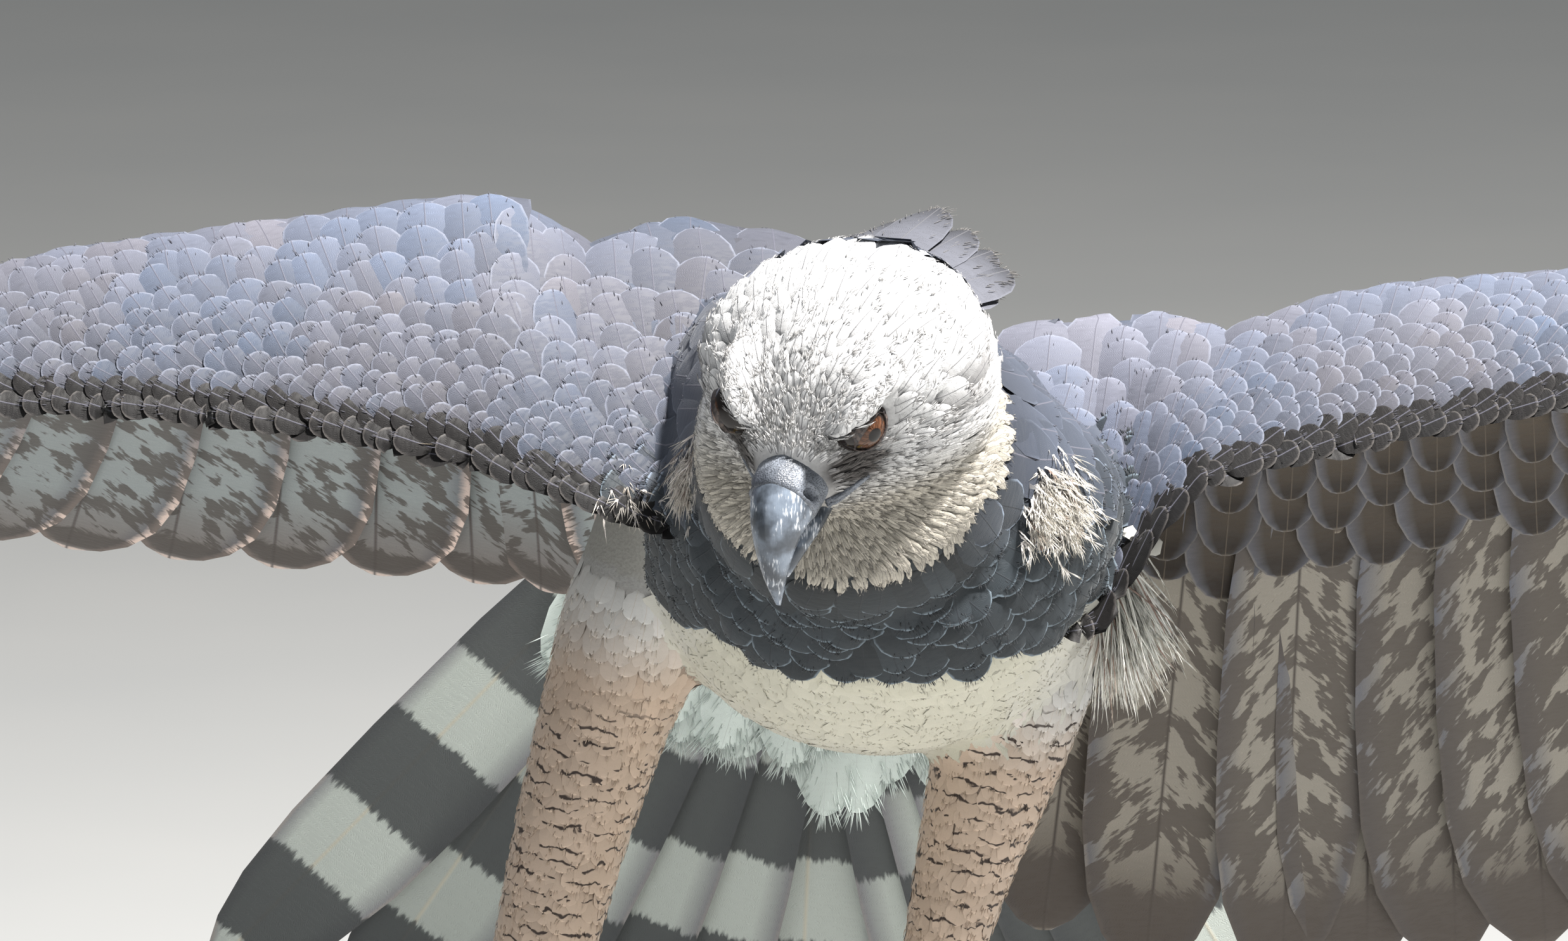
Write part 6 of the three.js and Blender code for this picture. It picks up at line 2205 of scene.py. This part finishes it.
    @staticmethod
    def waxy() -> Material:
        """The cere's pebbled blue-grey skin."""
        material, t, shader = new_material("cere_wax")
        place = t.place()
        pebble = t.add("TexVoronoi", Vector=place, Scale=1300.0).outputs["Distance"]
        cloud = t.noise(place, 120.0, 3.0)
        colour = t.mix(t.step(cloud, 0.3, 0.7), (0.075, 0.085, 0.105), (0.24, 0.265, 0.31))
        colour = t.mix(t.step(pebble, 0.1, 0.5), (0.045, 0.05, 0.06), colour)
        dress(t, shader, colour, t.math("MULTIPLY_ADD", cloud, 0.3, 0.28), pebble)
        return material


@dataclass
class Leg:
    """One leg below the feathers: the shank, the toes with their scutes, and the claws."""

    name: str
    side: int
    ankle: tuple
    shank: float = 122.0
    forward: float = 30.0
    thick: float = 14.0
    toes: tuple = (
        ("inner", -38, 62, 10.5, 72, 8.4), ("middle", -2, 82, 10.5, 60, 7.6),
        ("outer", 36, 64, 9.5, 52, 6.8), ("hind", 180, 46, 11.5, 88, 9.6)
    )

    def frame(self) -> tuple[Array, Array, Array]:
        """The shank's direction, its right and its front."""
        tilt = math.radians(self.forward)
        way = Pose.body(vec(0, -math.sin(tilt), -math.cos(tilt)))
        right = Pose.body(vec(1, 0, 0))
        front = square(right, way)
        return way, right, front if front[1] < 0 else -front

    def toe_line(self, turned: float, length: float) -> tuple[Array, Array]:
        """A toe's centre line and its outward direction."""
        way, _, front = self.frame()
        out = spin(front, way, math.radians(self.side * turned))
        points = [Pose.body(vec(*self.ankle)) + way * (self.shank + 2)]
        for i in range(12):
            drop = math.radians(4 + 46 * i / 12)
            points.append(points[-1] + (out * math.cos(drop) + way * math.sin(drop)) * length / 12)
        return np.array(points), out

    def make(self) -> None:
        """Builds the leg."""
        way, right, front = self.frame()
        scaly, claw = leg_finishes()
        t = np.linspace(-0.08, 1.0, 30)
        path = Pose.body(vec(*self.ankle)) + way * (self.shank * t)[:, None]
        swell = self.thick * (1 + 0.2 * (2 * np.clip(t, 0, 1) - 1) ** 4)
        points, faces = tube(path, swell, right, flat=1.1, count=28)
        shank = list_mesh(f"shank_{self.name}", points, faces, (f"tarsus_{self.name}",))
        keep(shank, scaly)
        scutes = [(path[2:-1], swell[2:-1] * 1.08, front, 11)]
        for tag, turned, length, radius, _, _ in self.toes:
            line, out = self.toe_line(turned, length)
            k = np.arange(len(line))
            bulge = radius * (1.12 - 0.02 * k) * (1 + 0.07 * np.sin(k / 12 * math.pi * 6))
            points, faces = tube(line, bulge, square(out, way), flat=0.95, count=24)
            made = list_mesh(
                f"toe_{tag}_{self.name}", points, faces, (f"foot_{self.name}",) if tag == "inner" else ()
            )
            keep(made, scaly)
            scutes.append((line[1:], bulge[1:], -way, 9))
        self.plates(scutes, scaly)
        for tag, turned, length, _, long, thick in self.toes:
            line, out = self.toe_line(turned, length)
            points = [line[-1]]
            for i in range(16):
                drop = math.radians(30 + 92 * i / 16)
                points.append(points[-1] + (out * math.cos(drop) + way * math.sin(drop)) * long / 16)
            radii = thick * (1 - (np.arange(17) / 16) ** 1.2 * 0.94)
            points, faces = tube(np.array(points), radii, square(out, way), flat=1.1, count=24)
            made = list_mesh(f"claw_{tag}_{self.name}_horn", points, faces, (f"claw_{tag}_{self.name}",))
            keep(made, claw)

    def plates(self, lines: list, material: Material) -> None:
        """The scutes on the shank's front and the toes' tops, set by Geometry Nodes on a curve each."""
        for i, (path, radii, face, count) in enumerate(lines):
            curve = bpy.data.meshes.new("scute_path")
            steps = unit(np.gradient(path, axis=0))
            out = unit(face - steps * (steps @ face)[:, None])
            spots = np.linspace(0.4, len(path) - 1.2, count)
            at = np.stack(
                [np.interp(spots, np.arange(len(path)), (path + out * radii[:, None] * 0.93)[:, k])
                for k in range(3)], -1
            )
            curve.from_pydata(((at + SHOULDERS) / 1000).tolist(), [], [])
            size = np.interp(spots, np.arange(len(path)), radii) / 1000
            put_attribute(curve, "size", size, "FLOAT")
            put_attribute(
                curve, "run", np.stack([np.interp(spots, np.arange(len(path)), steps[:, k])
                for k in range(3)], -1)
            )
            put_attribute(
                curve, "face", np.stack([np.interp(spots, np.arange(len(path)), out[:, k])
                for k in range(3)], -1)
            )
            made = bpy.data.objects.new(f"scutes_{i}_{self.name}", curve)
            bpy.context.scene.collection.objects.link(made)
            settle(
                made, scute_tree(), {"Material": material,
                "Length": float(np.linalg.norm(at[1] - at[0]) / 1000) * 0.62}
            )
            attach(made, BODY)


def settle(made: bpy.types.Object, tree: bpy.types.NodeTree, values: dict[str, object]) -> None:
    """Runs a Geometry Nodes tree on an object and keeps its result as a plain mesh."""
    modifier = made.modifiers.new("nodes", "NODES")
    modifier.node_group = tree
    for item in tree.interface.items_tree:
        if item.item_type == "SOCKET" and item.in_out == "INPUT" and item.name in values:
            modifier[item.identifier] = values[item.name]
    made.update_tag()
    bpy.context.view_layer.update()
    mesh = bpy.data.meshes.new_from_object(made.evaluated_get(bpy.context.evaluated_depsgraph_get()))
    made.modifiers.remove(modifier)
    made.data = mesh
    mesh.polygons.foreach_set("use_smooth", np.ones(len(mesh.polygons), dtype=bool))


@cache
def scute_tree() -> bpy.types.NodeTree:
    """A tree that sets a domed plate on each point, sized and turned by the point's own values."""
    tree = bpy.data.node_groups.new("scutes", "GeometryNodeTree")
    for name, kind in (
        ("Geometry", "NodeSocketGeometry"), ("Length", "NodeSocketFloat"),
        ("Material", "NodeSocketMaterial")
    ):
        tree.interface.new_socket(name, in_out="INPUT", socket_type=kind)
    tree.interface.new_socket("Geometry", in_out="OUTPUT", socket_type="NodeSocketGeometry")
    t = Tree(tree)
    given = t.add("NodeGroupInput").outputs
    ball = t.add("GeometryNodeMeshUVSphere", Segments=16, Rings=10, Radius=1.0)
    named = {
        name: t.add("GeometryNodeInputNamedAttribute", {"data_type": kind}, Name=name).outputs["Attribute"]
        for name, kind in (("size", "FLOAT"), ("run", "FLOAT_VECTOR"), ("face", "FLOAT_VECTOR"))
    }
    first = t.add("FunctionNodeAlignRotationToVector", {"axis": "Z"}, Vector=named["face"])
    second = t.add(
        "FunctionNodeAlignRotationToVector", {"axis": "Y", "pivot_axis": "Z"}, Rotation=first.outputs[0],
        Vector=named["run"]
    )
    wide = t.math("MULTIPLY", named["size"], 0.82)
    high = t.math("MULTIPLY", named["size"], 0.2)
    scale = t.vector(wide, given["Length"], high)
    placed = t.add("GeometryNodeInstanceOnPoints", Points=given["Geometry"], Instance=ball.outputs["Mesh"],
                   Rotation=second.outputs[0], Scale=scale)
    solid = t.add("GeometryNodeRealizeInstances", Geometry=placed.outputs[0])
    dressed = t.add("GeometryNodeSetMaterial", Geometry=solid.outputs[0], Material=given["Material"])
    t.put(t.add("NodeGroupOutput").inputs["Geometry"], dressed.outputs[0])
    return tree


@cache
def leg_finishes() -> tuple[Material, Material]:
    """Yellow scaled skin and black claw horn."""
    scaly, t, shader = new_material("leg_scales")
    place = t.place()
    cells = t.add(
        "TexVoronoi", {"feature": "DISTANCE_TO_EDGE"}, Vector=place, Scale=300.0
    ).outputs["Distance"]
    cloud = t.noise(place, 60.0, 4.0)
    colour = t.mix(t.step(cloud, 0.3, 0.7), (0.5, 0.33, 0.05), (0.72, 0.52, 0.12))
    colour = t.mix(t.step(cells, 0.0, 0.09), (0.22, 0.13, 0.04), colour)
    dress(
        t, shader, colour, t.math("MULTIPLY_ADD", cloud, 0.3, 0.32), t.step(cells, 0.0, 0.12), strength=0.7,
        distance=0.0012
    )
    claw, t, shader = new_material("claw_black")
    wear = use_group(t, wear_group(), Scale=150.0, Stretch=4.0)
    colour = t.mix(t.step(wear["Factor"], 0.2, 0.4), (0.008, 0.008, 0.01), (0.05, 0.048, 0.048))
    dress(
        t, shader, colour, t.math("MULTIPLY_ADD", wear["Factor"], 0.6, 0.12), wear["Height"], strength=0.2,
        distance=0.0004
    )
    return scaly, claw


@dataclass
class Stand:
    """The display stand of steel: a turned base, and two rods up behind the legs."""

    radius: float = 210.0
    height: float = 22.0
    rod: float = 6.0
    tops: tuple = ((-146, 104, -205), (26, 104, -190))

    def make(self) -> None:
        """Builds the stand and dresses it."""
        floor = -SHOULDERS[2]
        middle = vec(-SHOULDERS[0], -SHOULDERS[1], floor)
        profile = (
            (0.0, 0.0), (0.985, 0.0), (1.0, 1.5), (1.0, 9.0), (0.992, 10.2), (0.975, 10.8), (0.97, 12.2),
            (0.982, 13.6), (0.985, 17.0), (0.978, 20.0), (0.962, 21.7), (0.94, 22.0), (0.0, 22.0)
        )
        rings = [
            oval(middle + vec(0, 0, z), vec(1, 0, 0), vec(0, 1, 0), self.radius * r, self.radius * r,
            self.radius * r, count=128) for r, z in profile[1:-1]
        ]
        points, faces = loft(np.array(rings), middle, middle + vec(0, 0, self.height))
        steel = self.steel()
        keep(list_mesh("base_turned", points, faces, ("stand_whole",)), steel)
        for name, top in zip(("right", "left"), self.tops):
            low = vec(top[0], top[1], floor + self.height - 11)
            heights = vec(0, 11, 11.5, 16, 17, 17.5, top[2] - low[2])
            path = low + vec(0, 0, 1) * heights[:, None]
            radii = self.rod * vec(1, 1, 2, 2, 1.75, 1, 1)
            points, faces = tube(path, radii, vec(1, 0, 0), count=40)
            keep(list_mesh(f"rod_{name}", points, faces), steel)

    @staticmethod
    def steel() -> Material:
        """Brushed steel."""
        material, t, shader = new_material("brushed_steel")
        wear = use_group(t, wear_group(), Scale=400.0, Stretch=8.0)
        shader.inputs["Metallic"].default_value = 1.0
        dress(t, shader, t.mix(wear["Factor"], (0.4, 0.41, 0.42), (0.6, 0.6, 0.6)),
              t.math("MULTIPLY_ADD", wear["Factor"], 0.3, 0.22))
        return material


@dataclass
class Studio:
    """The photograph's view, a pale floor, and soft studio light from the upper right; in metres."""

    lens: float = 239.0
    film: float = 36.0
    camera_at: tuple = (-0.0128, -4.5237, 1.3693)
    tilt: float = 80.0
    lamps: tuple = (
        ("key", (1.25, -1.0, 3.15), 0.6, 0.3, 330, (1.0, 0.97, 0.93)),
        ("top", (-0.6, 0.9, 2.9), 0.6, 1.6, 14, (0.93, 0.96, 1.0)),
        ("fill", (-2.0, -3.0, 0.7), 0.5, 2.4, 14, (0.95, 0.97, 1.0))
    )
    sky: Colour = (0.86, 0.9, 0.92)
    sky_strength: float = 0.2
    floor_tones: tuple = ((0.56, 0.57, 0.57), (0.62, 0.62, 0.61))
    floor_reach: float = 9.0

    def make(self) -> None:
        """Sets up the camera, the lamps, the sky and the floor."""
        scene = bpy.context.scene
        data = bpy.data.cameras.new("camera")
        data.lens, data.sensor_width, data.clip_end = self.lens, self.film, 50.0
        camera = bpy.data.objects.new("camera", data)
        camera.location = self.camera_at
        camera.rotation_euler = (math.radians(self.tilt), 0, 0)
        scene.collection.objects.link(camera)
        scene.camera = camera
        for name, place, aim, size, power, tone in self.lamps:
            light = bpy.data.lights.new(name, "AREA")
            light.size, light.energy, light.color = size, power, tone
            lamp = bpy.data.objects.new(name, light)
            lamp.location = place
            lamp.rotation_euler = (Vector((0, 0, aim)) - Vector(place)).to_track_quat("-Z", "Y").to_euler()
            scene.collection.objects.link(lamp)
        world = bpy.data.worlds.new("studio")
        world.use_nodes = True
        background = world.node_tree.nodes["Background"]
        background.inputs[0].default_value = (*self.sky, 1)
        background.inputs[1].default_value = self.sky_strength
        scene.world = world
        scene.view_settings.view_transform = "Standard"
        self.floor()

    def floor(self) -> None:
        """The pale floor."""
        floor = bpy.data.meshes.new("floor")
        corners = [
            (x * self.floor_reach, y * self.floor_reach, 0) for x, y in ((-1, -1), (1, -1), (1, 1), (-1, 1))
        ]
        floor.from_pydata(corners, [], [(0, 1, 2, 3)])
        ground = bpy.data.objects.new("floor", floor)
        material, t, shader = new_material("pale_floor")
        t.put(shader.inputs["Base Color"], t.mix(t.noise(t.place(), 3.0, 2.0), *self.floor_tones))
        shader.inputs["Roughness"].default_value = 0.85
        floor.materials.append(material)
        bpy.context.scene.collection.objects.link(ground)


@cache
def wing_finishes() -> dict[str, Material]:
    """The wings' materials."""
    covert = PlumeFinish(
        "wing_covert", barb_gap=1.0, barb_depth=0.16, shaft_width=0.4, shaft=(0.1, 0.1, 0.13),
        rim_width=0.9, rim_strength=0.55, mottle=0.4
    )
    lining = PlumeFinish(
        "wing_lining", barb_gap=1.0, barb_depth=0.2, shaft_width=0.4, shaft=(0.1, 0.08, 0.06),
        rim_width=0.8, rim_strength=0.35, mottle=0.6
    )
    right = RemexFinish(
        "flight_right", barb_gap=1.5, barb_slant=1.1, barb_depth=0.12, shaft_width=1.1,
        shaft=(0.05, 0.04, 0.04), rim_width=4.0, rim_strength=1.0, amount=0.5, bar_gap=52, tip=24, clear=3.4
    )
    # The left wing's flight feathers are the right's in painted shade: weaker pale rims and a longer dark
    # end.
    left = RemexFinish(
        "flight_left", barb_gap=1.5, barb_slant=1.1, barb_depth=0.12, shaft_width=1.1,
        shaft=(0.05, 0.04, 0.035), rim_width=1.6, rim_strength=0.5, amount=0.54, bar_gap=50, tip=40,
        clear=1.4
    )
    return {
        "covert": covert.material(), "lining": lining.material(), "right": right.material(),
        "left": left.material()
    }


SKIN = Skin()
EYES = Eyes()
TAIL = Tail()


def main() -> None:
    """Builds the eagle on its stand."""
    logging.basicConfig(level=logging.INFO, format="%(message)s")
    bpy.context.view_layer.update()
    Studio().make()
    SKIN.make()
    EYES.make()
    Bill().make()
    HeadCoat().make()
    BodyCoat().make()
    # The wings carry the same feathers: the left wing's darker, browner under colours are painted shade,
    # and inner_shade is painted shade on the right wing's inner coverts and painted light on the left's.
    WingCoat(
        RIGHT_WING, under_ground=(0.31, 0.345, 0.35), under_tip=(0.2, 0.18, 0.17),
        under_rim=(0.85, 0.68, 0.6), inner_shade=0.55
    ).make()
    WingCoat(
        LEFT_WING, under_ground=(0.27, 0.25, 0.215), under_tip=(0.08, 0.066, 0.055),
        under_rim=(0.27, 0.24, 0.2), inner_shade=1.1
    ).make()
    TAIL.make()
    Leg("right", side=-1, ankle=(-99, 44, -340)).make()
    Leg("left", side=1, ankle=(72, 44, -312)).make()
    Stand().make()


if __name__ == "__main__":
    main()
